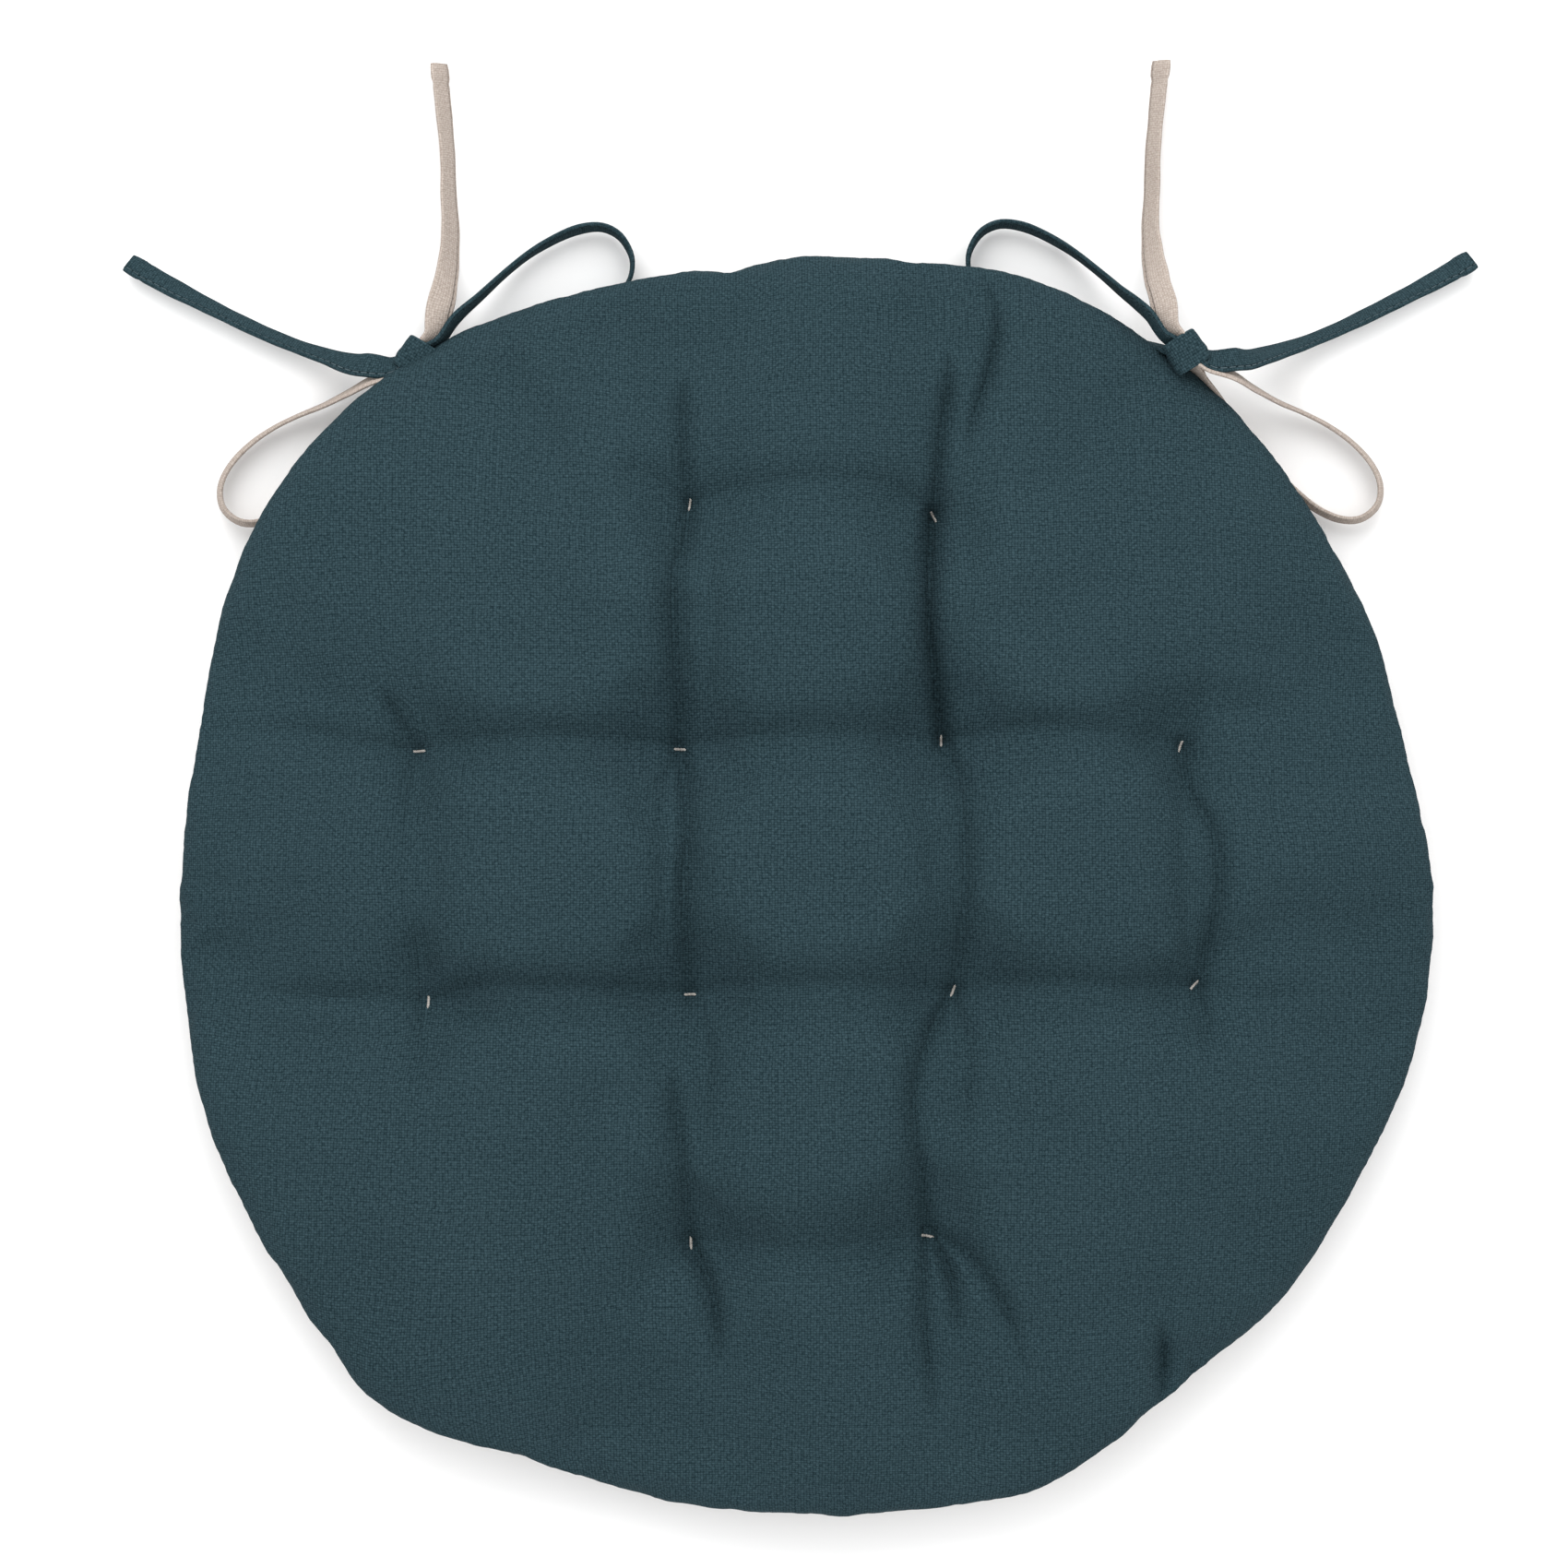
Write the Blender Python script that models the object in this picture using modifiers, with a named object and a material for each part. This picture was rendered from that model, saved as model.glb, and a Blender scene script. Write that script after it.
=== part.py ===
"""Round tufted seat cushion, 400 mm across, with two pairs of fabric ties knotted in bows.

A woven top panel and a plain lower panel meet in a seam round the rim and hold a fibre
filling. Twelve hand-sewn tufts pinch the cushion on an 80 mm grid. At each rear corner a
teal and a beige tie come out of the seam and are tied in a bow that lies on the surface.

Frame: metres, +Z up, +Y towards the ties, origin on the underside at the middle.
"""

import math

import bmesh
import bpy
from mathutils import Vector
from mathutils.bvhtree import BVHTree

# Cushion
DIAMETER = 0.400
THICKNESS = 0.055
SEAM_HEIGHT = 0.022
CORNER_SWELL = 0.006  # the outline is a little squarish: this much more radius at 45 degrees
RIM_FULLNESS = 2.5  # exponent of the rim's superellipse, 2 is an ellipse
UNDERSIDE_PRESS = 1.12  # the underside would bulge this much past the floor, which flattens it
FABRIC = 0.0008
SEAM_BAND = 0.0012  # each panel's upright edge where it turns into the seam
SEAM_THREAD = 0.0008
SWELL_SPREAD = 4  # power of the distance from the middle with which the corners' swell comes in
INSET_SPREAD = 8  # the same for an inset at the rim

# Tufts: grid of four by four without its corners, each sewn a little off its place
TUFT_PITCH = 0.080
TUFT_DRIFT = {
    (-1, 3): (0.0035, 0.0010, 80),
    (1, 3): (0.0012, -0.0026, 118),
    (-3, 1): (-0.0027, 0.0024, 4),
    (-1, 1): (0.0003, 0.0030, -3),
    (1, 1): (0.0036, 0.0059, 88),
    (3, 1): (-0.0002, 0.0041, 70),
    (-3, -1): (0.0002, 0.0026, 86),
    (-1, -1): (0.0035, 0.0050, 2),
    (1, -1): (0.0074, 0.0062, 68),
    (3, -1): (0.0042, 0.0079, 45),
    (-1, -3): (0.0038, 0.0058, 92),
    (1, -3): (-0.0009, 0.0079, -10),
}  # grid place in half pitches: shift in X, shift in Y, angle of the stitch in degrees
TUFT_BASE = 0.010  # height of the underside at a tuft
TUFT_PINCH = 0.024  # cushion thickness left at a tuft
TUFT_SPREAD = 0.046  # radius of the hollow round a tuft, on top
TUFT_SPREAD_BELOW = 0.030
TUFT_DRAG = 0.75 * TUFT_PITCH  # radius in which the panel's grid follows a tuft that is off place
TUFT_THREAD = 0.0010
STITCH = 0.0045  # from one needle hole to the other
STITCH_CORNER = 0.0010
STITCH_SHARES = (0.0, 0.6, 1.0, 1.3)  # where the panel's height under a bar is read

# Ties, folded fabric tapes that stand on edge, and the bows' knots
TIE_WIDTH = 0.009
TIE_THICKNESS = 0.0016
BOW_ANGLE = 35.7  # degrees from +Y to each bow
KNOT_SIZE = (0.013, 0.009, 0.0095)  # along the rim, outward, up
KNOT_STANDOFF = 0.0010  # from the rim to the knot
ROOT_SIZE = (0.009, 0.0030, 0.0055)
KNOT_ROUNDING = 0.0020
ROOT_ROUNDING = 0.0008
LANE_GAP = 0.0011  # between the tapes where they enter the knot
TAPE_TILT = 0.0022  # from the knot to a tape's end, room for the end's slant as the tape falls away
ROUTE_STEP = 0.010

# The tapes' routes from the knot, chosen by hand: metres along the rim away from the knot,
# metres outward from the rim, and height as a share of the knot's.
TEAL_LOOP = (
    (-0.017, 0.0068, 0.86), (-0.028, 0.0085, 0.48), (-0.040, 0.0103, 0.14),
    (-0.050, 0.0108, 0.01), (-0.060, 0.0097, 0.0), (-0.067, 0.0078, 0.0),
    (-0.0725, 0.0046, 0.0), (-0.0755, 0.0, 0.0), (-0.076, -0.005, 0.0),
    (-0.0745, -0.0104, 0.0), (-0.070, -0.0148, 0.0), (-0.063, -0.0165, 0.0),
    (-0.054, -0.0145, 0.0), (-0.044, -0.0105, 0.01), (-0.035, -0.0055, 0.06),
    (-0.028, -0.0005, 0.24), (-0.022, 0.0024, 0.55), (-0.0165, 0.0030, 0.86),
)
BEIGE_LOOP = (
    (0.017, 0.0066, 0.88), (0.025, 0.0080, 0.58), (0.034, 0.0098, 0.24),
    (0.0425, 0.0120, 0.07), (0.0515, 0.0135, 0.01), (0.0605, 0.0136, 0.0),
    (0.069, 0.0120, 0.0), (0.0755, 0.0086, 0.0), (0.079, 0.0035, 0.0),
    (0.079, -0.0015, 0.0), (0.0765, -0.0060, 0.0), (0.071, -0.0092, 0.0),
    (0.063, -0.0105, 0.0), (0.053, -0.0088, 0.0), (0.044, -0.0066, 0.0),
    (0.0357, -0.0040, 0.05), (0.028, 0.0000, 0.24), (0.022, 0.0024, 0.55),
    (0.0165, 0.0030, 0.86),
)
BEIGE_TAIL = (
    (-0.0145, 0.0120, 0.93), (-0.020, 0.0170, 0.72), (-0.026, 0.0235, 0.36),
    (-0.033, 0.0325, 0.10), (-0.039, 0.0420, 0.01), (-0.0455, 0.0515, 0.0),
    (-0.0515, 0.0615, 0.0), (-0.057, 0.0710, 0.0), (-0.061, 0.0780, 0.0),
)
TEAL_TAIL = (
    (0.0145, 0.0114, 0.93), (0.0185, 0.0152, 0.72), (0.0235, 0.0220, 0.36),
    (0.0293, 0.0302, 0.10), (0.0352, 0.0396, 0.01), (0.041, 0.0500, 0.0),
    (0.047, 0.0610, 0.0), (0.052, 0.0710, 0.0), (0.057, 0.0820, 0.0),
)

GAP = 0.0003  # between touching pieces

GRID_PITCH = 0.1  # the panel's mesh has this spacing, as a share of the radius
GRID_EVEN = 8  # rings at that spacing from the middle
GRID_RIM = 3  # closer rings from there to the rim
RIM_INSET = 4 * GAP + SEAM_THREAD  # room for the seam's thread, inside the panels

RADIUS = DIAMETER / 2
LAY_HEIGHT = TIE_WIDTH / 2 + GAP
KNOT_HEIGHT = SEAM_HEIGHT + ROOT_SIZE[2] / 2 + GAP + KNOT_SIZE[2] / 2

TEAL = (0.034, 0.063, 0.075)
BEIGE = (0.60, 0.52, 0.44)
FIBRE = (0.85, 0.85, 0.83)
THREAD = (0.55, 0.52, 0.47)


def clear_scene():
    for item in list(bpy.data.objects):
        bpy.data.objects.remove(item, do_unlink=True)


def collection(name):
    group = bpy.data.collections.new(name)
    bpy.context.scene.collection.children.link(group)
    return group


def material(name, colour, roughness):
    made = bpy.data.materials.new(name)
    made.use_nodes = True
    shader = made.node_tree.nodes["Principled BSDF"]
    shader.inputs["Base Color"].default_value = (*colour, 1.0)
    shader.inputs["Roughness"].default_value = roughness
    shader.inputs["Metallic"].default_value = 0.0
    return made


def add_object(name, data, group, finish):
    item = bpy.data.objects.new(name, data)
    if finish:
        data.materials.append(finish)
    group.objects.link(item)
    return item


def rim_radius(angle):
    """Distance from the middle to the rim, with the angle counted from +X."""
    return RADIUS + CORNER_SWELL * math.sin(2 * angle) ** 2


def falloff(distance, reach):
    """1 at no distance, 0 from the reach outward, smooth between."""
    if distance >= reach:
        return 0.0
    return (1 - (distance / reach) ** 2) ** 2


def tuft_places():
    """Each tuft's grid place, its real place and the direction of its stitch."""
    places = []
    for (column, row), (drift_x, drift_y, turn) in TUFT_DRIFT.items():
        x = column * TUFT_PITCH / 2 + drift_x
        y = row * TUFT_PITCH / 2 + drift_y
        angle = math.radians(turn)
        places.append(((column, row), Vector((x, y)), Vector((math.cos(angle), math.sin(angle)))))
    return places


def ring_share(index):
    """How far out a grid line lies: even in the middle and closer towards the rim."""
    steps = abs(index)
    if steps <= GRID_EVEN:
        share = steps * GRID_PITCH
    else:
        even = GRID_EVEN * GRID_PITCH
        share = even + (1 - even) * math.sin(math.pi / 2 * (steps - GRID_EVEN) / GRID_RIM)
    return math.copysign(share, index)


def disc_place(u, v):
    """A place of the square grid, moved so that the square's edge becomes the rim's outline."""
    edge = max(abs(u), abs(v))
    out = math.hypot(u, v)
    if out == 0:
        return Vector((0, 0)), 0.0, 0.0
    share = out * (1 - (1 - edge / out) * edge**2)
    swell = rim_radius(math.atan2(v, u)) - RADIUS
    reach = share * (RADIUS + swell * edge**SWELL_SPREAD)
    return Vector((u / out * reach, v / out * reach)), share, edge


def tuft_pulls(places):
    """For each tuft, the grid line crossing nearest to it and the pull that brings it there."""
    pulls = []
    for (column, row), place, _ in places:
        crossing = disc_place(2 * column * GRID_PITCH, 2 * row * GRID_PITCH)[0]
        pulls.append((crossing, place - crossing))
    return pulls


def panel_surface(side, inset, places):
    """One panel's outer face as an open mesh: side 1 is the top, -1 the underside."""
    steps = GRID_EVEN + GRID_RIM
    mesh = bmesh.new()
    bmesh.ops.create_grid(mesh, x_segments=2 * steps, y_segments=2 * steps, size=steps)
    pulls = tuft_pulls(places)
    for vertex in mesh.verts:
        u = ring_share(round(vertex.co.x))
        v = ring_share(round(vertex.co.y))
        place, share, edge = disc_place(u, v)
        if place.length:
            place = place - place.normalized() * inset * edge**INSET_SPREAD
        for crossing, pull in pulls:
            place = place + pull * falloff((place - crossing).length, TUFT_DRAG)
        crown = max(0.0, 1 - share**RIM_FULLNESS) ** (1 / RIM_FULLNESS)
        if side > 0:
            base = SEAM_HEIGHT + GAP / 2 + SEAM_BAND
            height = base + (THICKNESS - base) * crown
            pinch, spread = TUFT_BASE + TUFT_PINCH, TUFT_SPREAD
        else:
            base = SEAM_HEIGHT - GAP / 2 - SEAM_BAND
            height = max(0.0, base - UNDERSIDE_PRESS * base * crown)
            pinch, spread = TUFT_BASE, TUFT_SPREAD_BELOW
        for _, tuft, _ in places:
            height += (pinch - height) * falloff((place - tuft).length, spread)
        vertex.co = (place.x, place.y, height)
    bmesh.ops.triangulate(mesh, faces=mesh.faces, quad_method="FIXED")
    rim = [edge for edge in mesh.edges if edge.is_boundary]
    band = bmesh.ops.extrude_edge_only(mesh, edges=rim)
    for item in band["geom"]:
        if isinstance(item, bmesh.types.BMVert):
            item.co.z -= side * SEAM_BAND
    bmesh.ops.recalc_face_normals(mesh, faces=mesh.faces)
    middle = min(mesh.faces, key=lambda face: face.calc_center_median().xy.length)
    if middle.normal.z * side < 0:
        bmesh.ops.reverse_faces(mesh, faces=mesh.faces)
    return mesh


def as_data(mesh, name):
    data = bpy.data.meshes.new(name)
    mesh.to_mesh(data)
    mesh.free()
    data.shade_smooth()
    return data


def cut_with(item, cutter):
    cut = item.modifiers.new("needle_holes", "BOOLEAN")
    cut.operation = "DIFFERENCE"
    cut.solver = "EXACT"
    cut.object = cutter


def make_cover(name, side, places, cutter, group, finish):
    cover = add_object(name, as_data(panel_surface(side, 0.0, places), name), group, finish)
    cloth = cover.modifiers.new("fabric", "SOLIDIFY")
    cloth.thickness = FABRIC
    cloth.offset = -1
    cloth.use_even_offset = True
    cut_with(cover, cutter)
    return cover


def make_filling(places, cutter, group, finish):
    """The fibre pad: both panels' shapes, closed at the rim and drawn in by the fabric."""
    mesh = panel_surface(1, RIM_INSET, places)
    lower = panel_surface(-1, RIM_INSET, places)
    lower_data = as_data(lower, "filling_lower")
    mesh.from_mesh(lower_data)
    bpy.data.meshes.remove(lower_data)
    bmesh.ops.remove_doubles(mesh, verts=mesh.verts, dist=1.5 * GAP)
    filling = add_object("filling", as_data(mesh, "filling"), group, finish)
    drawn_in = filling.modifiers.new("inside_fabric", "DISPLACE")
    drawn_in.mid_level = 0.0
    drawn_in.strength = -(FABRIC + GAP)
    cut_with(filling, cutter)
    return filling


def stitch_ends(place, along):
    return [place + along * STITCH / 2, place - along * STITCH / 2]


def needle_hole_cutter(places, group):
    """A needle hole for each leg of each tuft's thread, right through the cushion."""
    mesh = bmesh.new()
    for _, place, along in places:
        for leg in stitch_ends(place, along):
            made = bmesh.ops.create_cone(
                mesh,
                cap_ends=True,
                segments=6,
                radius1=TUFT_THREAD / 2 + GAP,
                radius2=TUFT_THREAD / 2 + GAP,
                depth=2 * THICKNESS,
            )
            bmesh.ops.translate(mesh, verts=made["verts"], vec=(leg.x, leg.y, THICKNESS / 2))
    cutter = add_object("needle_hole_cutter", as_data(mesh, "needle_hole_cutter"), group, None)
    cutter.hide_render = True
    cutter.display_type = "WIRE"
    return cutter


def surface_height(tree, x, y, side):
    """Height of the panel over or under a place, found from the outside."""
    start = Vector((x, y, 2 * THICKNESS * side))
    return tree.ray_cast(start, Vector((0, 0, -side)))[0].z


def curve_object(name, points, radius, sides, group, finish, extrude=0.0, closed=False):
    data = bpy.data.curves.new(name, "CURVE")
    data.dimensions = "3D"
    data.twist_mode = "Z_UP" if extrude else "MINIMUM"
    data.bevel_depth = radius
    data.bevel_resolution = sides
    data.extrude = extrude
    data.use_fill_caps = not closed
    spline = data.splines.new("POLY")
    spline.points.add(len(points) - 1)
    for target, point in zip(spline.points, points):
        target.co = (*point, 1.0)
    spline.use_cyclic_u = closed
    return add_object(name, data, group, finish)


def make_tuft_thread(name, place, along, trees, group, finish):
    """A closed loop of thread: a bar on each panel and two legs through the needle holes."""
    ends = stitch_ends(place, along)
    rise = GAP + TUFT_THREAD / 2
    spots = [place + (end - place) * share for end in ends for share in STITCH_SHARES]
    top = max(surface_height(trees[1], spot.x, spot.y, 1) for spot in spots) + rise
    bottom = min(surface_height(trees[-1], spot.x, spot.y, -1) for spot in spots) - rise
    half = STITCH / 2
    corners = ((half, top, 0), (-half, top, 90), (-half, bottom, 180), (half, bottom, 270))
    points = []
    for reach, height, turn in corners:
        centre_reach = reach - math.copysign(STITCH_CORNER, reach)
        centre_height = height - (STITCH_CORNER if height == top else -STITCH_CORNER)
        for step in (0, 90):
            angle = math.radians(turn + step)
            out = centre_reach + STITCH_CORNER * math.cos(angle)
            spot = place + along * out
            points.append((spot.x, spot.y, centre_height + STITCH_CORNER * math.sin(angle)))
    return curve_object(name, points, TUFT_THREAD / 2, 1, group, finish, closed=True)


def make_seam_thread(group, finish):
    """The thread of the closing seam, a ring just inside the two panels' edges."""
    count = 72
    points = []
    for step in range(count):
        angle = 2 * math.pi * step / count
        out = rim_radius(angle) - FABRIC - 2 * GAP - SEAM_THREAD / 2
        points.append((out * math.cos(angle), out * math.sin(angle), SEAM_HEIGHT))
    return curve_object("seam_thread", points, SEAM_THREAD / 2, 1, group, finish, closed=True)


def bow_axes(side):
    """Where a bow sits on the rim, and the directions along the rim and outward."""
    angle = math.radians(BOW_ANGLE)
    outward = Vector((side * math.sin(angle), math.cos(angle), 0))
    along = Vector((side * math.cos(angle), -math.sin(angle), 0))
    return outward * rim_radius(math.pi / 2 - angle), along, outward


def in_bow(side, along_rim, outward_of_rim, height):
    origin, along, outward = bow_axes(side)
    return origin + along * along_rim + outward * outward_of_rim + Vector((0, 0, height))


def route_height(share):
    return LAY_HEIGHT + share * (KNOT_HEIGHT - LAY_HEIGHT)


def knot_middle():
    return KNOT_STANDOFF + KNOT_SIZE[1] / 2


def knot_end(direction, lane):
    """Where a tape enters the knot: lane -1 is nearest the rim, 1 the outermost."""
    away = direction * (KNOT_SIZE[0] / 2 + GAP + TAPE_TILT)
    return (away, knot_middle() + lane * (TIE_THICKNESS + LANE_GAP), 1.0)


def smooth_route(points, step):
    """Points at about even steps along a Catmull-Rom curve through the given points."""
    first = 2 * points[0] - points[1]
    last = 2 * points[-1] - points[-2]
    guide = [first, *points, last]
    fine = [points[0]]
    for index in range(1, len(guide) - 2):
        a, b, c, d = guide[index - 1 : index + 3]
        for part in range(1, 11):
            t = part / 10
            bend = 2 * a - 5 * b + 4 * c - d
            swing = 3 * b - a - 3 * c + d
            fine.append((2 * b + (c - a) * t + bend * t**2 + swing * t**3) / 2)
    lengths = [0.0]
    for start, end in zip(fine, fine[1:]):
        lengths.append(lengths[-1] + (end - start).length)
    count = max(2, round(lengths[-1] / step))
    picked = []
    index = 0
    for number in range(count + 1):
        goal = lengths[-1] * number / count
        while index < len(fine) - 2 and lengths[index + 1] < goal:
            index += 1
        share = (goal - lengths[index]) / (lengths[index + 1] - lengths[index])
        picked.append(fine[index].lerp(fine[index + 1], share))
    return picked


def make_tape(name, side, route, group, finish):
    """A stretch of tape, with its origin where it leaves the knot: a tail turns about it."""
    points = [in_bow(side, along, out, route_height(share)) for along, out, share in route]
    start = points[0]
    path = [point - start for point in smooth_route(points, ROUTE_STEP)]
    edge = (TIE_WIDTH - TIE_THICKNESS) / 2
    tape = curve_object(name, path, TIE_THICKNESS / 2, 2, group, finish, extrude=edge)
    tape.location = start
    return tape


def make_block(name, size, place, side, rounding, group, finish):
    """A small block with rounded edges that stands along the rim at a bow."""
    mesh = bmesh.new()
    bmesh.ops.create_cube(mesh, size=1.0)
    bmesh.ops.scale(mesh, verts=mesh.verts, vec=size)
    block = add_object(name, as_data(mesh, name), group, finish)
    along = bow_axes(side)[1]
    block.location = place
    block.rotation_euler = (0, 0, math.atan2(along.y, along.x))
    round_over = block.modifiers.new("rounding", "BEVEL")
    round_over.width = rounding
    round_over.segments = 2
    return block


def make_bow(prefix, side, group, teal, beige):
    """Both tapes' roots, the knot, a loop and a tail of each colour."""
    root_place = in_bow(side, 0, KNOT_STANDOFF + ROOT_SIZE[1] / 2, SEAM_HEIGHT)
    make_block(prefix + "_tie_root", ROOT_SIZE, root_place, side, ROOT_ROUNDING, group, teal)
    knot_place = in_bow(side, 0, knot_middle(), KNOT_HEIGHT)
    make_block(prefix + "_knot", KNOT_SIZE, knot_place, side, KNOT_ROUNDING, group, teal)
    teal_loop = (knot_end(-1, 0), *TEAL_LOOP, knot_end(-1, -1))
    beige_loop = (knot_end(1, 0), *BEIGE_LOOP, knot_end(1, -1))
    make_tape(prefix + "_teal_loop", side, teal_loop, group, teal)
    make_tape(prefix + "_beige_loop", side, beige_loop, group, beige)
    teal_tail = (knot_end(1, 1), *TEAL_TAIL)
    beige_tail = (knot_end(-1, 1), *BEIGE_TAIL)
    make_tape(prefix + "_teal_tail", side, teal_tail, group, teal)
    make_tape(prefix + "_beige_tail", side, beige_tail, group, beige)


def make_tufts(places, group, finish):
    trees = {}
    for side in (1, -1):
        surface = panel_surface(side, 0.0, places)
        trees[side] = BVHTree.FromBMesh(surface)
        surface.free()
    for number, (_, place, along) in enumerate(places, start=1):
        make_tuft_thread(f"tuft_thread_{number:02d}", place, along, trees, group, finish)


def main():
    clear_scene()
    parts = collection("seat_cushion")
    cutters = collection("cutters")
    teal = material("teal_canvas", TEAL, 0.9)
    beige = material("beige_canvas", BEIGE, 0.9)
    fibre = material("polyester_fibre", FIBRE, 1.0)
    thread = material("sewing_thread", THREAD, 0.7)
    places = tuft_places()
    cutter = needle_hole_cutter(places, cutters)
    make_cover("top_cover", 1, places, cutter, parts, teal)
    make_cover("bottom_cover", -1, places, cutter, parts, beige)
    make_filling(places, cutter, parts, fibre)
    make_seam_thread(parts, thread)
    make_tufts(places, parts, thread)
    make_bow("left", -1, parts, teal, beige)
    make_bow("right", 1, parts, teal, beige)


main()
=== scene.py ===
"""Looks for the round tufted seat cushion: two inflated woven panels, a fibre filling, hand-sewn
tufts and two bows of folded tape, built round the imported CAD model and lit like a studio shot.

Frame: metres, +Z up, +Y towards the ties, the cushion rests on Z = 0.
"""

import math

import bmesh
import bpy
import numpy as np
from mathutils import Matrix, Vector
from mathutils.bvhtree import BVHTree


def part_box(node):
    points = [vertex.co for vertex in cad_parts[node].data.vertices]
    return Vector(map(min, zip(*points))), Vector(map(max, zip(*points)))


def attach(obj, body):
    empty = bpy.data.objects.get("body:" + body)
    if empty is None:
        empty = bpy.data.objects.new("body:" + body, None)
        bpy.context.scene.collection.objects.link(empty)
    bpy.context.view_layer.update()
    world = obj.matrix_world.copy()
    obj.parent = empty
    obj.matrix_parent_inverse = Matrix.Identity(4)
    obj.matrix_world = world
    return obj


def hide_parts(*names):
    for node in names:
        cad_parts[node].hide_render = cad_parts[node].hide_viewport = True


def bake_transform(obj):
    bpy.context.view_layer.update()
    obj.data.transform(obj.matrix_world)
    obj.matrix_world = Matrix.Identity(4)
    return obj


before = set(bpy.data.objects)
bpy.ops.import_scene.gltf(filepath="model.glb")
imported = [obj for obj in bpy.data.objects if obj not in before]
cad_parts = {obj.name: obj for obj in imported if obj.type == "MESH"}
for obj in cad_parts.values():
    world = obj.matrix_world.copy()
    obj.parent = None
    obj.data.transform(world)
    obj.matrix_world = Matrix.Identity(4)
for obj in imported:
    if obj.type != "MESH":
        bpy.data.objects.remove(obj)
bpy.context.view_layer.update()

SEED = 7

# Cushion, from the CAD solids
TOP_LOW, TOP_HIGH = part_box("top_cover")
RADIUS = (TOP_HIGH[0] - TOP_LOW[0]) / 2
THICKNESS = TOP_HIGH[2]
SEAM_HEIGHT = (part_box("seam_thread")[0][2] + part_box("seam_thread")[1][2]) / 2
WIDEST_HEIGHT = SEAM_HEIGHT + 0.002
SEAM_LOW = SEAM_HEIGHT - 0.006
SEAM_TUCK = 0.0045  # the seam lies this far in from the widest line
FABRIC = 0.0008
RIM_FULLNESS = 2.5
UNDERSIDE_PRESS = 1.12
TUFT_NODES = [f"tuft_thread_{number:02d}" for number in range(1, 13)]
TUFT_SPREAD = 0.030
TUFT_SINK = 0.0012  # the cloth is drawn this far inside a tuft's bars
PIN_REACH = 0.0032  # the simulation holds the cloth this near a tuft
TUFT_LIFT = 0.006  # the stitches sit this much above the CAD model's, in softer hollows

# How far the rim stands out past the CAD radius: degrees from +X, metres
RIM_OFFSETS = (
    (0, 0.0), (12, -0.004), (24, -0.0015), (36, 0.0005), (48, 0.004), (64, 0.006),
    (72, 0.005), (80, 0.001), (90, 0.0), (98, -0.002), (108, 0.001), (120, 0.007),
    (132, 0.0105), (144, 0.010), (154, 0.006), (166, -0.0015), (176, -0.0015),
    (190, 0.001), (200, 0.0045), (210, 0.006), (222, 0.010), (229, 0.014),
    (235, 0.012), (242, 0.0055), (248, 0.002), (258, 0.0015), (268, 0.0005),
    (282, 0.003), (291, 0.006), (300, 0.0025), (309, -0.001), (318, 0.0015),
    (332, 0.0), (345, 0.0015),
)

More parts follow.
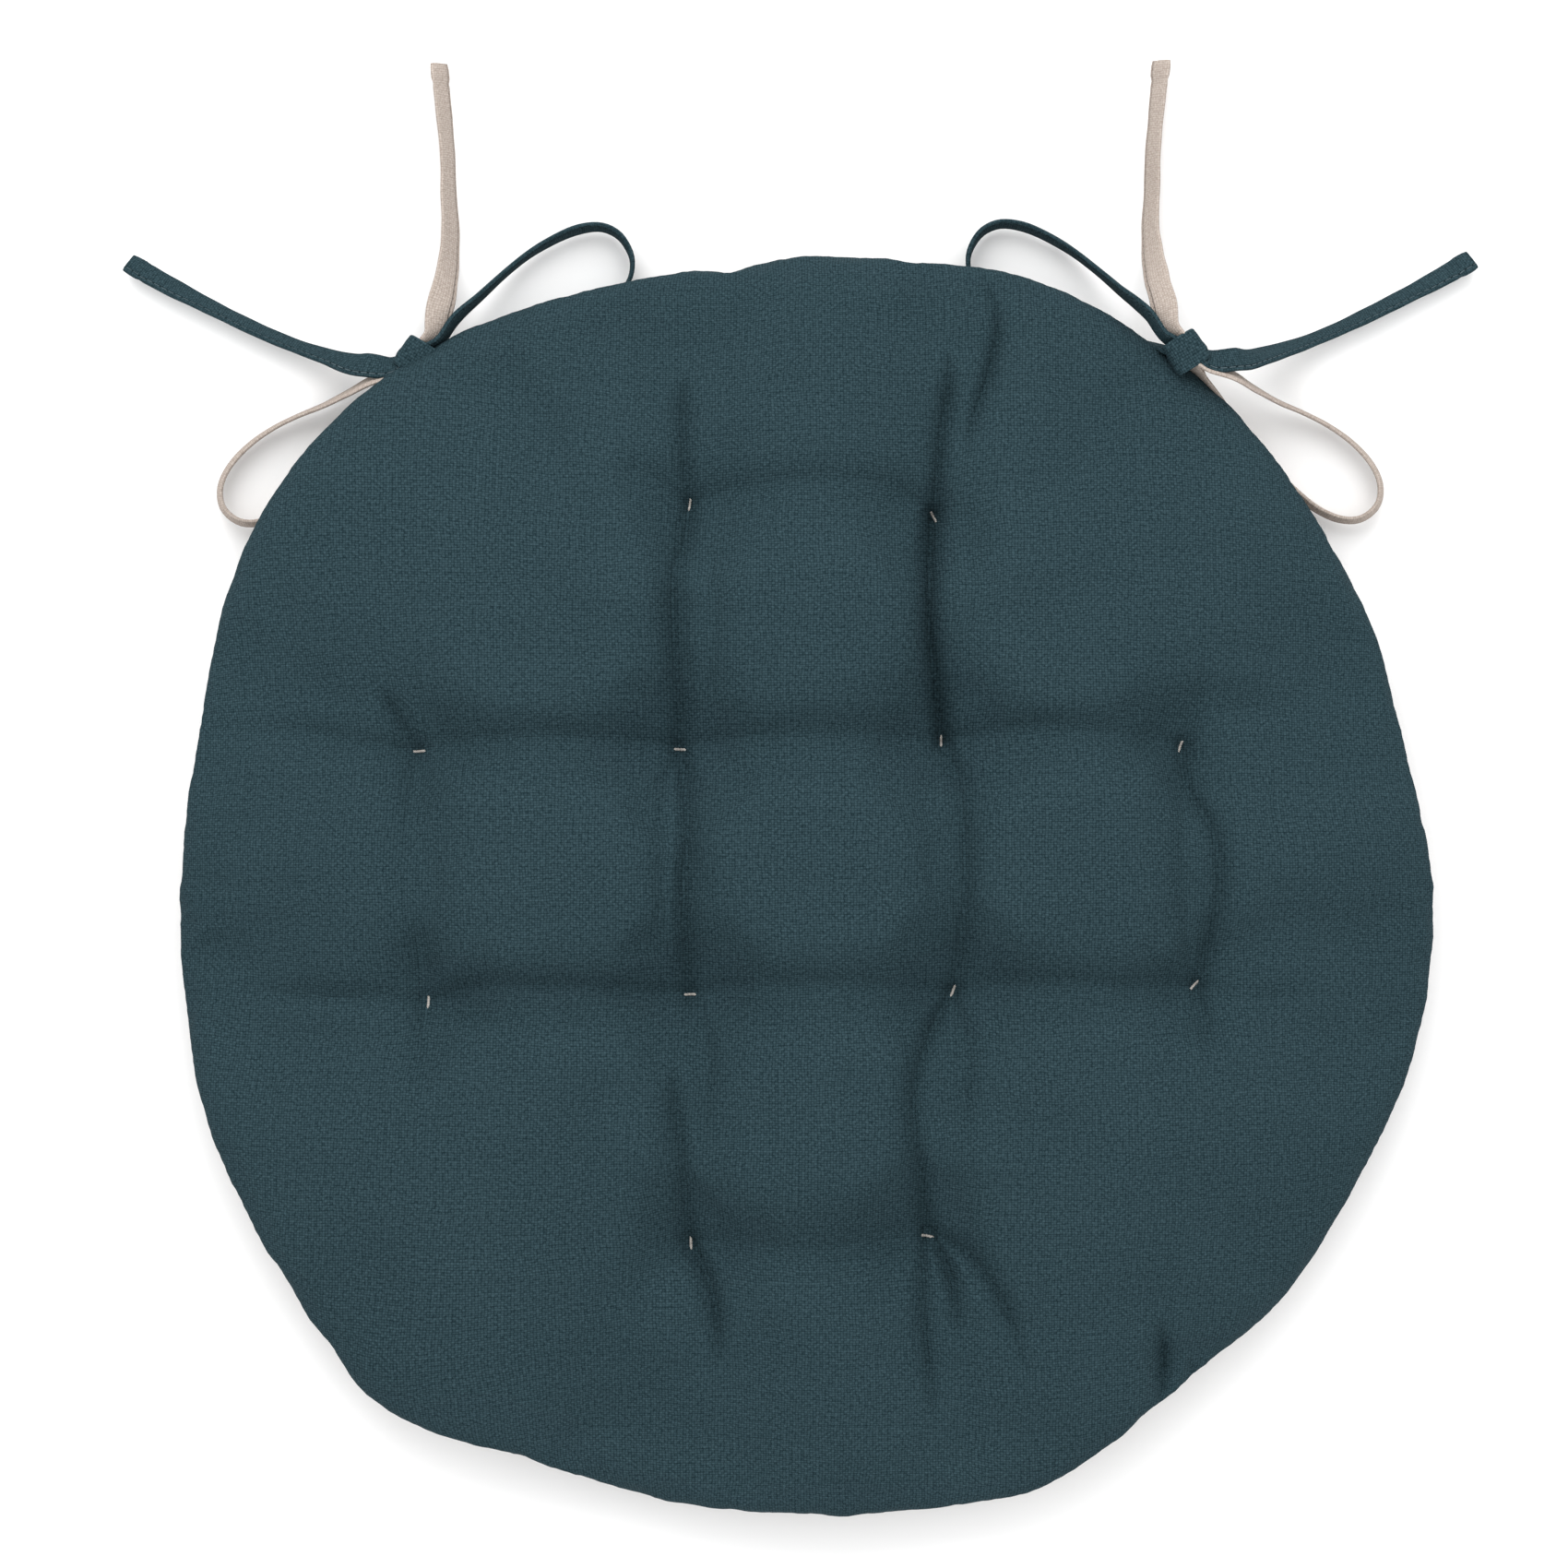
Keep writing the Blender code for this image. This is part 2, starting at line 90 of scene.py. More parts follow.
# Folds in the top panel, crisper than the valleys: places, depth, half width, in millimetres
FOLDS_MM = (
    # the column of tufts right of the middle, from the rim behind to the front
    (((40.8, 118.5), (39.9, 103), (39.4, 83), (41.5, 65), (43.7, 45.5)), 9.5, 3.8),
    (((41.2, 116), (43.2, 140.5), (45.7, 158), (45.7, 170)), 6, 3.6),
    (((54.5, 199), (61.3, 180), (58.8, 163), (53.8, 148), (50, 133)), 5.6, 3.4),
    (((43.7, 47.5), (48.7, 32), (50.7, 7), (50, -13), (47.5, -35)), 4.6, 4.2),
    (((47, -33), (40.5, -46), (34.9, -63), (34.9, -79), (37.4, -94), (38.7, -113)), 5.8, 4),
    (((47, -33), (50.7, -54), (48.7, -76), (42.4, -90)), 3.4, 3.8),
    (((40, -110), (44, -118), (47.5, -129), (49.2, -148)), 6.6, 3.8),
    (((38.5, -110), (37.4, -134), (39.9, -157), (42.4, -172)), 4.8, 3.8),
    (((45, -113), (54, -119), (65, -137), (71.4, -160)), 5.8, 4.2),
    # the column left of the middle
    (((-36.9, 119), (-38.2, 135.5), (-38.7, 153), (-38, 162)), 4.6, 4),
    (((-36.6, 122), (-38.2, 108), (-41.5, 98), (-41.2, 77), (-39.5, 57), (-40, 43)), 5.6, 4.2),
    (((-31, 110), (-29.4, 100), (-29.4, 73), (-32, 60)), 2.2, 3.8),
    (((-40, 45), (-38.2, 32), (-36.9, 17), (-38.2, -1), (-37.7, -18), (-36.8, -35)), 5.2, 4),
    (((-43, 36), (-44.5, 17), (-44.2, -13), (-41, -26)), 2.6, 3.6),
    (((-36.8, -33), (-31.4, -51), (-32.4, -76), (-34, -90)), 3, 4),
    (((-39.5, -55), (-40.7, -66), (-39, -84), (-36.6, -114)), 4.4, 4),
    (((-36.4, -112), (-29.4, -129), (-27.5, -142), (-26.9, -155)), 5.8, 3.8),
    # the outer columns
    (((119.8, 44), (121.8, 30), (129.4, 17), (131.4, -1), (128.1, -18), (124.3, -32)), 4.8, 4.2),
    (((119.8, 44), (120.5, 20), (121, -10), (124, -32)), 2, 4.5),
    (((119.8, 43), (124.3, 57.4), (126.8, 72.5)), 3.2, 4.5),
    (((124.3, -31), (126.8, -46), (128.5, -57)), 4, 4),
    (((-122.6, 41.5), (-130.2, 54.9), (-134.5, 63)), 4.4, 4),
    (((-120.1, -37.5), (-121.5, -21), (-123, -10)), 3.4, 5),
    (((-120.1, -36), (-120.6, -58.5), (-120, -68)), 3.4, 4.5),
    (((-122.6, 44), (-124, 26), (-123.5, 15)), 2.6, 5),
    # the rows, from behind to the front
    (((-36.9, 121), (-14.3, 126.7), (8.4, 128.4), (26, 126.7), (41.2, 118)), 2.4, 6),
    (((-64, 131), (-52, 130), (-36.9, 121)), 2.9, 6.5),
    (((-195, 50), (-158, 48.6), (-142.8, 44.8), (-122.6, 42.8)), 3.4, 4.5),
    (((-122.6, 42.8), (-82.2, 47), (-40.2, 44)), 2.7, 5.5),
    (((-40.2, 44), (1, 48), (43.7, 45.5)), 2.6, 6),
    (((43.7, 45.5), (76, 50), (119.8, 44.1)), 2.7, 5.5),
    (((119.8, 52), (138, 56), (162, 53)), 1.8, 7),
    (((-198.5, -33), (-163, -34.6), (-137.7, -35.8), (-120.1, -37.1)), 3.5, 4.5),
    (((-120.1, -37.1), (-99.9, -31.8), (-74.7, -32.5), (-36.8, -34.6)), 3.4, 4.2),
    (((-117.6, -37.5), (-92.4, -41), (-69.7, -39.2), (-42, -35.2)), 2.4, 3.8),
    (((-36.8, -34), (0.8, -31), (47.4, -33.8)), 2.6, 5),
    (((-33, -36.5), (0.8, -40), (44, -35.5)), 2.4, 4.5),
    (((47.4, -33.8), (76.4, -31), (124.3, -32.5)), 2.6, 5),
    (((50, -36), (80, -39.5), (120, -34.5)), 1.9, 4.5),
    (((124.3, -32.5), (146, -36), (170, -33)), 2.1, 6),
    (((-36.4, -113), (1, -115.5), (38.7, -112.5)), 2.9, 6.5),
    # tucks at the rim in front on the right
    (((112.5, -137), (114.2, -151.8), (113, -170)), 7.6, 4.4),
    (((121.5, -150), (126, -160), (133, -168)), 5.2, 4.2),
)
FOLDS = [(np.array(line) / 1000, deep / 1000, wide / 1000) for line, deep, wide in FOLDS_MM]

VALLEYS = (
    (0, 1), (0, 3), (1, 4), (2, 3), (3, 4), (4, 5), (2, 6), (3, 7), (4, 8), (5, 9),
    (6, 7), (7, 8), (8, 9), (7, 10), (8, 11), (10, 11),
)  # tufts, counted as in the CAD model, with a soft valley between them
VALLEY_DEPTH = 0.0050
VALLEY_WIDTH = 0.0110
SOFT_VALLEY = 0.0026
END_TAPER = 2.4  # a free end is full depth after 1 / 2.4 of the fold
TUFT_REACH = 0.010  # a fold that ends this near a tuft runs into it
DIMPLE_DEPTH = 0.0030
DIMPLE_WIDTH = 0.0060

RINGS = 56
CLOTH = {
    "quality": 6,
    "mass": 0.15,
    "tension_stiffness": 25,
    "compression_stiffness": 25,
    "shear_stiffness": 12,
    "bending_stiffness": 0.4,
    "air_damping": 3,
    "use_pressure": True,
    "uniform_pressure_force": 4.0,
    "shrink_min": -0.035,  # the panels are cut this much larger than the swollen form
}
FRAMES = 24
MOVE_CAP = 0.014
RIM_WAVE = 0.0016
SECTORS = 90  # the rim is drawn in by this many sectors
RIM_ROUNDING = 0.0014  # what the rim loses when it is smoothed
SOFTEN_ROUNDS = 20
SOFTEN_ABOVE = WIDEST_HEIGHT + 0.006
CLEARANCE = 0.0002  # between the underside and the floor
BROAD_RIPPLE = (0.00022, 0.016)  # height and size
FINE_RIPPLE = (0.0001, 0.007)
PAD_INSET = 0.035  # the filling keeps this share of the radius clear of the rim's tucks
PAD_MARGIN = 0.2  # over this share of the radius
PAD_DEEPER = 1.6  # the folds in the filling, against those in the panel over it
PAD_WIDER = 2.2
PAD_LOWER = 0.001
RIM_SHOULDER = 0.007  # the folds fade out this far above the widest line
CRISP = 1.0  # folds deeper than this share of their half width are cut finer


def falloff(distance, reach):
    """1 at no distance, 0 from the reach outward, smooth between."""
    inside = np.clip(1 - (distance / reach) ** 2, 0, 1)
    return inside**2


def line_distance(points, line):
    """Distance of each point from a broken line, and how far along it the nearest place is."""
    best = np.full(len(points), np.inf)
    along = np.zeros(len(points))
    ends = np.array(line)
    count = len(ends) - 1
    for index in range(count):
        start, step = ends[index], ends[index + 1] - ends[index]
        share = np.clip((points - start) @ step / (step @ step), 0, 1)
        away = np.linalg.norm(points - start - share[:, None] * step, axis=1)
        nearer = away < best
        best[nearer] = away[nearer]
        along[nearer] = (index + share[nearer]) / count
    return best, along


def smooth_line(points, parts=8):
    """Points on a Catmull-Rom curve through the given points."""
    given = np.array(points, dtype=float)
    guide = np.vstack([2 * given[0] - given[1], given, 2 * given[-1] - given[-2]])
    made = [given[0]]
    for index in range(1, len(guide) - 2):
        a, b, c, d = guide[index - 1 : index + 3]
        for part in range(1, parts + 1):
            t = part / parts
            bend = 2 * a - 5 * b + 4 * c - d
            swing = 3 * b - a - 3 * c + d
            made.append((2 * b + (c - a) * t + bend * t**2 + swing * t**3) / 2)
    return np.array(made)


def rim_radius(angles):
    """The rim's radius at each angle, smooth through RIM_OFFSETS all the way round."""
    degrees = np.degrees(angles) % 360
    knots = np.array(RIM_OFFSETS)
    round_again = np.vstack([knots[-3:] - (360, 0), knots, knots[:3] + (360, 0)])
    line = smooth_line(round_again)
    return RADIUS + np.interp(degrees, line[:, 0], line[:, 1])


def tuft_facts():
    """For each tuft: the middle of its stitch and the CAD heights of its two bars."""
    facts = []
    for name in TUFT_NODES:
        low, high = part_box(name)
        facts.append(((low[0] + high[0]) / 2, (low[1] + high[1]) / 2, low[2], high[2]))
    return np.array(facts)


TUFTS = tuft_facts()


def profile(side):
    """Radius share, height and length along the panel at each ring, from the middle out.

    The top panel bulges past the seam and tucks under its own widest line to reach it.
    """
    turn = np.linspace(0, math.pi / 2, 800)
    round_out = np.sin(turn) ** (2 / RIM_FULLNESS)
    round_up = np.cos(turn) ** (2 / RIM_FULLNESS)
    seam_share = 1 - SEAM_TUCK / RADIUS
    if side > 0:
        under = np.linspace(0, 1, 60)[1:]
        out = np.concatenate([round_out, 1 - (1 - seam_share) * under**2])
        up = np.concatenate([
            WIDEST_HEIGHT + (THICKNESS - WIDEST_HEIGHT) * round_up,
            WIDEST_HEIGHT - (WIDEST_HEIGHT - SEAM_LOW) * under,
        ])
    else:
        out = round_out * seam_share
        up = np.maximum(0.0, SEAM_LOW - UNDERSIDE_PRESS * SEAM_LOW * round_up)
    steps = np.hypot(np.diff(out) * RADIUS, np.diff(up))
    length = np.concatenate([[0], np.cumsum(steps)])
    at = np.linspace(0, length[-1], RINGS + 1)
    return np.interp(at, length, out), np.interp(at, length, up), at


def ring_points(side):
    """A panel's places before it is blown up, ring by ring, and their places on the flat cloth."""
    outs, ups, lengths = profile(side)
    places, flat = [], []
    for ring in range(RINGS + 1):
        count = max(1, 6 * ring)
        angles = np.arange(count) * 2 * math.pi / count
        share = outs[ring]
        reach = RADIUS + (rim_radius(angles) - RADIUS) * share**4
        x = np.cos(angles) * reach * share
        y = np.sin(angles) * reach * share
        wave = RIM_WAVE * (np.sin(5 * angles + 1) + 0.6 * np.sin(11 * angles)) * share**8
        z = np.full(count, ups[ring]) + wave
        places.append(np.stack([x, y, z], axis=1))
        flat.append(np.stack([np.cos(angles), np.sin(angles)], axis=1) * lengths[ring])
    return np.vstack(places), np.vstack(flat)


def ring_faces(offset, rim_start, flip):
    """Triangles between the rings: each ring has six points more than the one inside it."""
    def index(ring, spot):
        count = max(1, 6 * ring)
        base = 0 if ring == 0 else 1 + 3 * ring * (ring - 1)
        number = base + spot % count
        return number + (rim_start if ring == RINGS else offset)
    faces = []
    for ring in range(1, RINGS + 1):
        for sector in range(6):
            for step in range(ring):
                outer = sector * ring + step
                inner = sector * (ring - 1) + step
                faces.append((index(ring, outer), index(ring, outer + 1), index(ring - 1, inner)))
                if step < ring - 1:
                    faces.append((
                        index(ring - 1, inner),
                        index(ring, outer + 1),
                        index(ring - 1, inner + 1),
                    ))
    return [face[::-1] for face in faces] if flip else faces


def press_in(places, side):
    """Pull the panel in at each tuft and press the folds between them."""
    if side > 0:
        for first, second in VALLEYS:
            away, _ = line_distance(places[:, :2], TUFTS[[first, second], :2])
            places[:, 2] -= VALLEY_DEPTH * np.exp(-((away / VALLEY_WIDTH) ** 2))
    for x, y, low, high in TUFTS:
        target = high - TUFT_SINK + TUFT_LIFT if side > 0 else low + TUFT_SINK
        away = np.hypot(places[:, 0] - x, places[:, 1] - y)
        places[:, 2] += (target - places[:, 2]) * falloff(away, TUFT_SPREAD)
    return places


def cushion_start():
    """The closed cushion before it swells: points, flat places, faces of each panel, pins."""
    top, flat_top = ring_points(1)
    low, flat_low = ring_points(-1)
    inner = 1 + 3 * RINGS * (RINGS - 1)
    top = press_in(top, 1)
    low = press_in(low, -1)
    places = np.vstack([top, low[:inner]])
    flat = np.vstack([flat_top, flat_low[:inner]])
    top_faces = ring_faces(0, 0, False)
    low_faces = ring_faces(len(top), 0, True)
    pinned = np.zeros(len(places), dtype=bool)
    pinned[inner : len(top)] = True
    for x, y, _, _ in TUFTS:
        away = np.hypot(places[:, 0] - x, places[:, 1] - y)
        pinned |= away < PIN_REACH
    return places, flat, top_faces, low_faces, pinned, inner


def add_object(name, data):
    item = bpy.data.objects.new(name, data)
    bpy.context.scene.collection.objects.link(item)
    return item


def mesh_object(name, places, faces):
    data = bpy.data.meshes.new(name)
    data.from_pydata([tuple(place) for place in places], [], [tuple(face) for face in faces])
    data.update()
    return add_object(name, data)


def add_closed_mesh(name, mesh, finish):
    """An object from a bmesh, its faces turned outward."""
    bmesh.ops.recalc_face_normals(mesh, faces=mesh.faces)
    data = bpy.data.meshes.new(name)
    mesh.to_mesh(data)
    mesh.free()
    data.shade_smooth()
    data.materials.append(finish)
    return add_object(name, data)


def running_length(points):
    """Length along a broken line at each of its points."""
    steps = np.linalg.norm(np.diff(points, axis=0), axis=1)
    return np.concatenate([[0], np.cumsum(steps)])


def on_cushion(item, slot, *nodes):
    """The piece moves with the cushion and stands for these CAD nodes."""
    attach(item, "cushion")
    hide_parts(*nodes)


def coordinates(data, kind="co"):
    found = np.empty(len(data.vertices) * 3)
    data.vertices.foreach_get(kind, found)
    return found.reshape(-1, 3)


def blow_up(places, faces, pinned):
    """Cloth under pressure, held at the seam and the tufts, with a little slack in it."""
    item = mesh_object("swelling", places, faces)
    pins = item.vertex_groups.new(name="pins")
    pins.add([int(index) for index in np.nonzero(pinned)[0]], 1.0, "REPLACE")
    cloth = item.modifiers.new("cloth", "CLOTH")
    for key, value in CLOTH.items():
        setattr(cloth.settings, key, value)
    cloth.settings.vertex_group_mass = "pins"
    cloth.settings.effector_weights.gravity = 0
    cloth.collision_settings.use_collision = False
    cloth.point_cache.frame_start = 1
    cloth.point_cache.frame_end = FRAMES
    scene = bpy.context.scene
    for number in range(1, FRAMES + 1):
        scene.frame_set(number)
    evaluated = item.evaluated_get(bpy.context.evaluated_depsgraph_get())
    moved = coordinates(evaluated.data)
    bpy.data.objects.remove(item)
    scene.frame_set(1)
    shift = moved - places
    length = np.linalg.norm(shift, axis=1)
    keep = np.where(length > MOVE_CAP, MOVE_CAP / np.maximum(length, 1e-9), 1.0)
    return places + shift * keep[:, None]


# --- Materials -----------------------------------------------------------------------------

TEAL_DARK = (0.0078, 0.0188, 0.0236)
TEAL_LIGHT = (0.0385, 0.0700, 0.0830)
BEIGE_DARK = (0.30, 0.250, 0.215)
BEIGE_LIGHT = (0.50, 0.435, 0.39)
WARP_PITCH = 0.00092
WEFT_PITCH = 0.00074
# How much each of these lightens a spot of woven cloth: the yarn's own tone, its height (painted
# shade in the gaps between yarns), weft over warp, fibres, speckle, slubs and clouds. The offset
# brings the average back.
LIGHTNESS = (0.06, 0.68, 0.16, 0.60, 1.30, 0.14, 0.14)
LIGHTNESS_OFFSET = 1.19
THREAD_DARK = (0.20, 0.19, 0.18)
THREAD_LIGHT = (0.62, 0.58, 0.53)
WADDING_DARK = (0.62, 0.62, 0.60)
WADDING_LIGHT = (0.90, 0.90, 0.88)
FLOOR_DARK = (0.91, 0.91, 0.91)
FLOOR_LIGHT = (0.94, 0.94, 0.94)
GROOVE_HALF = 0.10
STITCH_HALF = 0.045
STITCH_RUN = 0.36  # half of the share of the pitch in which the thread lies on top
GROOVE_PLACE = -0.74  # across a tape, as a share of half its width
STITCH_PITCH = 0.0026
TEAL_GROOVE_SHADE_AND_THREAD = ((0.003, 0.007, 0.009), (0.085, 0.120, 0.135))  # painted shade in the pressed groove, then the thread colour
# the beige tape's pair: painted shade in the pressed groove, then the thread colour
BEIGE_GROOVE_SHADE_AND_THREAD = ((0.115, 0.088, 0.072), (0.36, 0.31, 0.275))


class Graph:
    """A material's node tree, with short calls for its nodes."""

    def __init__(self, name):
        self.material = bpy.data.materials.new(name)
        self.material.use_nodes = True
        self.tree = self.material.node_tree
        self.shader = self.tree.nodes["Principled BSDF"]

    def node(self, kind, **settings):
        made = self.tree.nodes.new(kind)
        for key, value in settings.items():
            setattr(made, key, value)
        return made

    def set(self, socket, value):
        if isinstance(value, bpy.types.NodeSocket):
            self.tree.links.new(value, socket)
        else:
            socket.default_value = value

    def math(self, operation, *values):
        made = self.node("ShaderNodeMath", operation=operation)
        for socket, value in zip(made.inputs, values):
            self.set(socket, value)
        return made.outputs[0]

    def mix(self, share, first, second):
        made = self.node("ShaderNodeMix", data_type="RGBA")
        self.set(made.inputs["Factor"], share)
        self.set(made.inputs["A"], first)
        self.set(made.inputs["B"], second)
        return made.outputs["Result"]

    def noise(self, vector, scale, detail=2.0, roughness=0.5):
        made = self.node("ShaderNodeTexNoise")
        self.set(made.inputs["Vector"], vector)
        self.set(made.inputs["Scale"], scale)
        self.set(made.inputs["Detail"], detail)
        self.set(made.inputs["Roughness"], roughness)
        return made.outputs["Fac"]

    def scaled(self, vector, x, y, z=1.0):
        made = self.node("ShaderNodeVectorMath", operation="MULTIPLY")
        self.set(made.inputs[0], vector)
        self.set(made.inputs[1], (x, y, z))
        return made.outputs[0]

    def random(self, value, seed):
        made = self.node("ShaderNodeTexWhiteNoise", noise_dimensions="2D")
        joined = self.node("ShaderNodeCombineXYZ")
        self.set(joined.inputs[0], value)
        self.set(joined.inputs[1], seed)
        self.set(made.inputs["Vector"], joined.outputs[0])
        return made.outputs["Value"]

    def bump(self, height, distance, strength=1.0):
        made = self.node("ShaderNodeBump")
        self.set(made.inputs["Height"], height)
        made.inputs["Distance"].default_value = distance
        made.inputs["Strength"].default_value = strength
        self.tree.links.new(made.outputs["Normal"], self.shader.inputs["Normal"])

    def clamp(self, value):
        made = self.node("ShaderNodeClamp")
        self.set(made.inputs[0], value)
        return made.outputs[0]

    def finish(self, roughness, sheen=0.0):
        self.shader.inputs["Roughness"].default_value = roughness
        self.shader.inputs["Specular IOR Level"].default_value = 0.05
        self.shader.inputs["Sheen Weight"].default_value = sheen
        self.shader.inputs["Sheen Roughness"].default_value = 0.5
        return self.material


def hump(graph, share, flatness):
    """A yarn's rounded back: 1 in the middle of a cell and lower by flatness at its edges."""
    centred = graph.math("MULTIPLY_ADD", share, 2.0, -1.0)
    squared = graph.math("MULTIPLY", centred, centred)
    return graph.math("MULTIPLY_ADD", squared, -flatness, 1.0)


def plain_weave(graph, u, v):
    """Height and tone of a plain weave: warp over and weft over, turn about."""
    column, row = graph.math("FLOOR", u), graph.math("FLOOR", v)
    over = graph.math("PINGPONG", graph.math("ADD", column, row), 1.0)
    across_u, across_v = graph.math("FRACT", u), graph.math("FRACT", v)
    warp = graph.math("MULTIPLY", hump(graph, across_u, 0.85), hump(graph, across_v, 0.45))
    weft = graph.math("MULTIPLY", hump(graph, across_v, 0.85), hump(graph, across_u, 0.45))
    warp_tone = graph.random(column, 3.0)
    weft_tone = graph.random(row, 8.0)
    height_gap = graph.math("SUBTRACT", weft, warp)
    height = graph.math("MULTIPLY_ADD", height_gap, over, warp)
    tone_gap = graph.math("SUBTRACT", weft_tone, warp_tone)
    tone = graph.math("MULTIPLY_ADD", tone_gap, over, warp_tone)
    return height, tone, over


def topstitch(graph, height, colour, seam, thread):
    """A row of machine stitches in a pressed groove near a tape's open edge; the groove's darker
    colour is painted shade.
    """
    split = graph.node("ShaderNodeSeparateXYZ")
    graph.set(split.inputs[0], graph.node("ShaderNodeUVMap", uv_map="edge").outputs[0])
    across, along = split.outputs[0], split.outputs[1]
    away = graph.math("ABSOLUTE", graph.math("SUBTRACT", across, GROOVE_PLACE))
    groove = graph.math("SUBTRACT", 1.0, graph.math("DIVIDE", away, GROOVE_HALF))
    groove = graph.math("MAXIMUM", groove, 0.0)
    cycle = graph.math("FRACT", graph.math("DIVIDE", along, STITCH_PITCH))
    from_middle = graph.math("ABSOLUTE", graph.math("SUBTRACT", cycle, 0.5))
    run = graph.math("LESS_THAN", from_middle, STITCH_RUN)
    on_thread = graph.math("MULTIPLY", run, graph.math("LESS_THAN", away, STITCH_HALF))
    # painted shade: the groove is darkened towards the first colour of the pair
    colour = graph.mix(graph.math("MULTIPLY", groove, 0.75), colour, (*seam, 1))
    colour = graph.mix(on_thread, colour, (*thread, 1))
    height = graph.math("MULTIPLY_ADD", groove, -2.0, height)
    return graph.math("MULTIPLY_ADD", on_thread, 2.2, height), colour


def woven_material(name, dark, light, warp=WARP_PITCH, weft=WEFT_PITCH, depth=0.00016, tape=None):
    """Plain-woven cloth from mixed light and dark yarns, laid out by the piece's weave map."""
    graph = Graph(name)
    place = graph.node("ShaderNodeUVMap", uv_map="weave").outputs[0]
    wander = graph.math("MULTIPLY_ADD", graph.noise(place, 60.0), 0.0022, -0.0011)
    split = graph.node("ShaderNodeSeparateXYZ")
    graph.set(split.inputs[0], place)
    u = graph.math("DIVIDE", graph.math("ADD", split.outputs[0], wander), warp)
    v = graph.math("DIVIDE", graph.math("SUBTRACT", split.outputs[1], wander), weft)
    height, tone, over = plain_weave(graph, u, v)
    fibres = graph.noise(graph.scaled(place, 1 / warp, 1 / weft), 2.6, 3.0, 0.7)
    speckle = graph.noise(graph.scaled(place, 1 / warp, 1 / weft), 0.8, 1.0, 0.5)
    cloudy = graph.noise(graph.scaled(place, 1.0, 1.0), 26.0, 3.0, 0.55)
    slubs = graph.noise(graph.scaled(place, 24.0, 900.0), 1.0, 2.0, 0.5)
    share = -LIGHTNESS_OFFSET
    # the yarn height's weight darkens the gaps between yarns in the colour: painted shade
    for part, weight in zip((tone, height, over, fibres, speckle, slubs, cloudy), LIGHTNESS):
        share = graph.math("MULTIPLY_ADD", part, weight, share)
    colour = graph.mix(graph.clamp(share), (*dark, 1), (*light, 1))
    fuzz = graph.math("MULTIPLY_ADD", fibres, 0.35, height)
    if tape:
        fuzz, colour = topstitch(graph, fuzz, colour, *tape)
    graph.set(graph.shader.inputs["Base Color"], colour)
    graph.bump(fuzz, depth, 0.9)
    return graph.finish(0.95)


def thread_material():
    """Undyed sewing thread: fine streaks along the twist."""
    graph = Graph("sewing_thread_look")
    place = graph.node("ShaderNodeTexCoord").outputs["Object"]
    streaks = graph.noise(graph.scaled(place, 1.0, 1.0, 0.4), 5200.0, 3.0, 0.7)
    tone = graph.math("MULTIPLY_ADD", streaks, 1.5, -0.25)
    colour = graph.mix(graph.clamp(tone), (*THREAD_DARK, 1), (*THREAD_LIGHT, 1))
    graph.set(graph.shader.inputs["Base Color"], colour)
    graph.bump(streaks, 0.00006)
    return graph.finish(0.75, 0.2)


def fibre_material():
    """White wadding: tangled fibres."""
    graph = Graph("wadding_look")
    place = graph.node("ShaderNodeTexCoord").outputs["Object"]
    tangle = graph.noise(graph.scaled(place, 1.0, 2.2, 1.4), 700.0, 6.0, 0.75)
    colour = graph.mix(tangle, (*WADDING_DARK, 1), (*WADDING_LIGHT, 1))
    graph.set(graph.shader.inputs["Base Color"], colour)
    graph.bump(tangle, 0.0008)
    return graph.finish(1.0, 0.3)


def floor_material():
    graph = Graph("studio_floor")
    place = graph.node("ShaderNodeTexCoord").outputs["Object"]
    grain = graph.noise(place, 3.0, 2.0)
    colour = graph.mix(grain, (*FLOOR_DARK, 1), (*FLOOR_LIGHT, 1))
    graph.set(graph.shader.inputs["Base Color"], colour)
    return graph.finish(1.0)


# --- Cushion -------------------------------------------------------------------------------

def with_map(item, flat):
    """Give a mesh its weave map: each vertex's place on the flat cloth, in metres."""
    layer = item.data.uv_layers.new(name="weave")
    corners = np.empty(len(item.data.loops), dtype=np.int32)
    item.data.loops.foreach_get("vertex_index", corners)
    layer.data.foreach_set("uv", flat[corners].astype(np.float32).ravel())


def apply_modifiers(item):
    graph = bpy.context.evaluated_depsgraph_get()
    made = bpy.data.meshes.new_from_object(item.evaluated_get(graph), depsgraph=graph)
    item.modifiers.clear()
    item.data = made


def ripples(places, size, seed):
    """Smooth noise between -1 and 1 at each place, from a few crossing waves."""
    chance = np.random.default_rng(seed)
    total = np.zeros(len(places))
    count = 14
    for _ in range(count):
        turn = chance.uniform(0, math.pi)
        pitch = size * chance.uniform(0.7, 1.5)
        direction = np.array([math.cos(turn), math.sin(turn)])
        bend = chance.uniform(0, 2 * math.pi, 2)
        sway = np.sin(places[:, :2] @ direction[::-1] / (pitch * 0.5) + bend[1])
        total += np.sin(places[:, :2] @ direction * 2 * math.pi / pitch + bend[0] + sway)
    return total / math.sqrt(count / 2) / 2


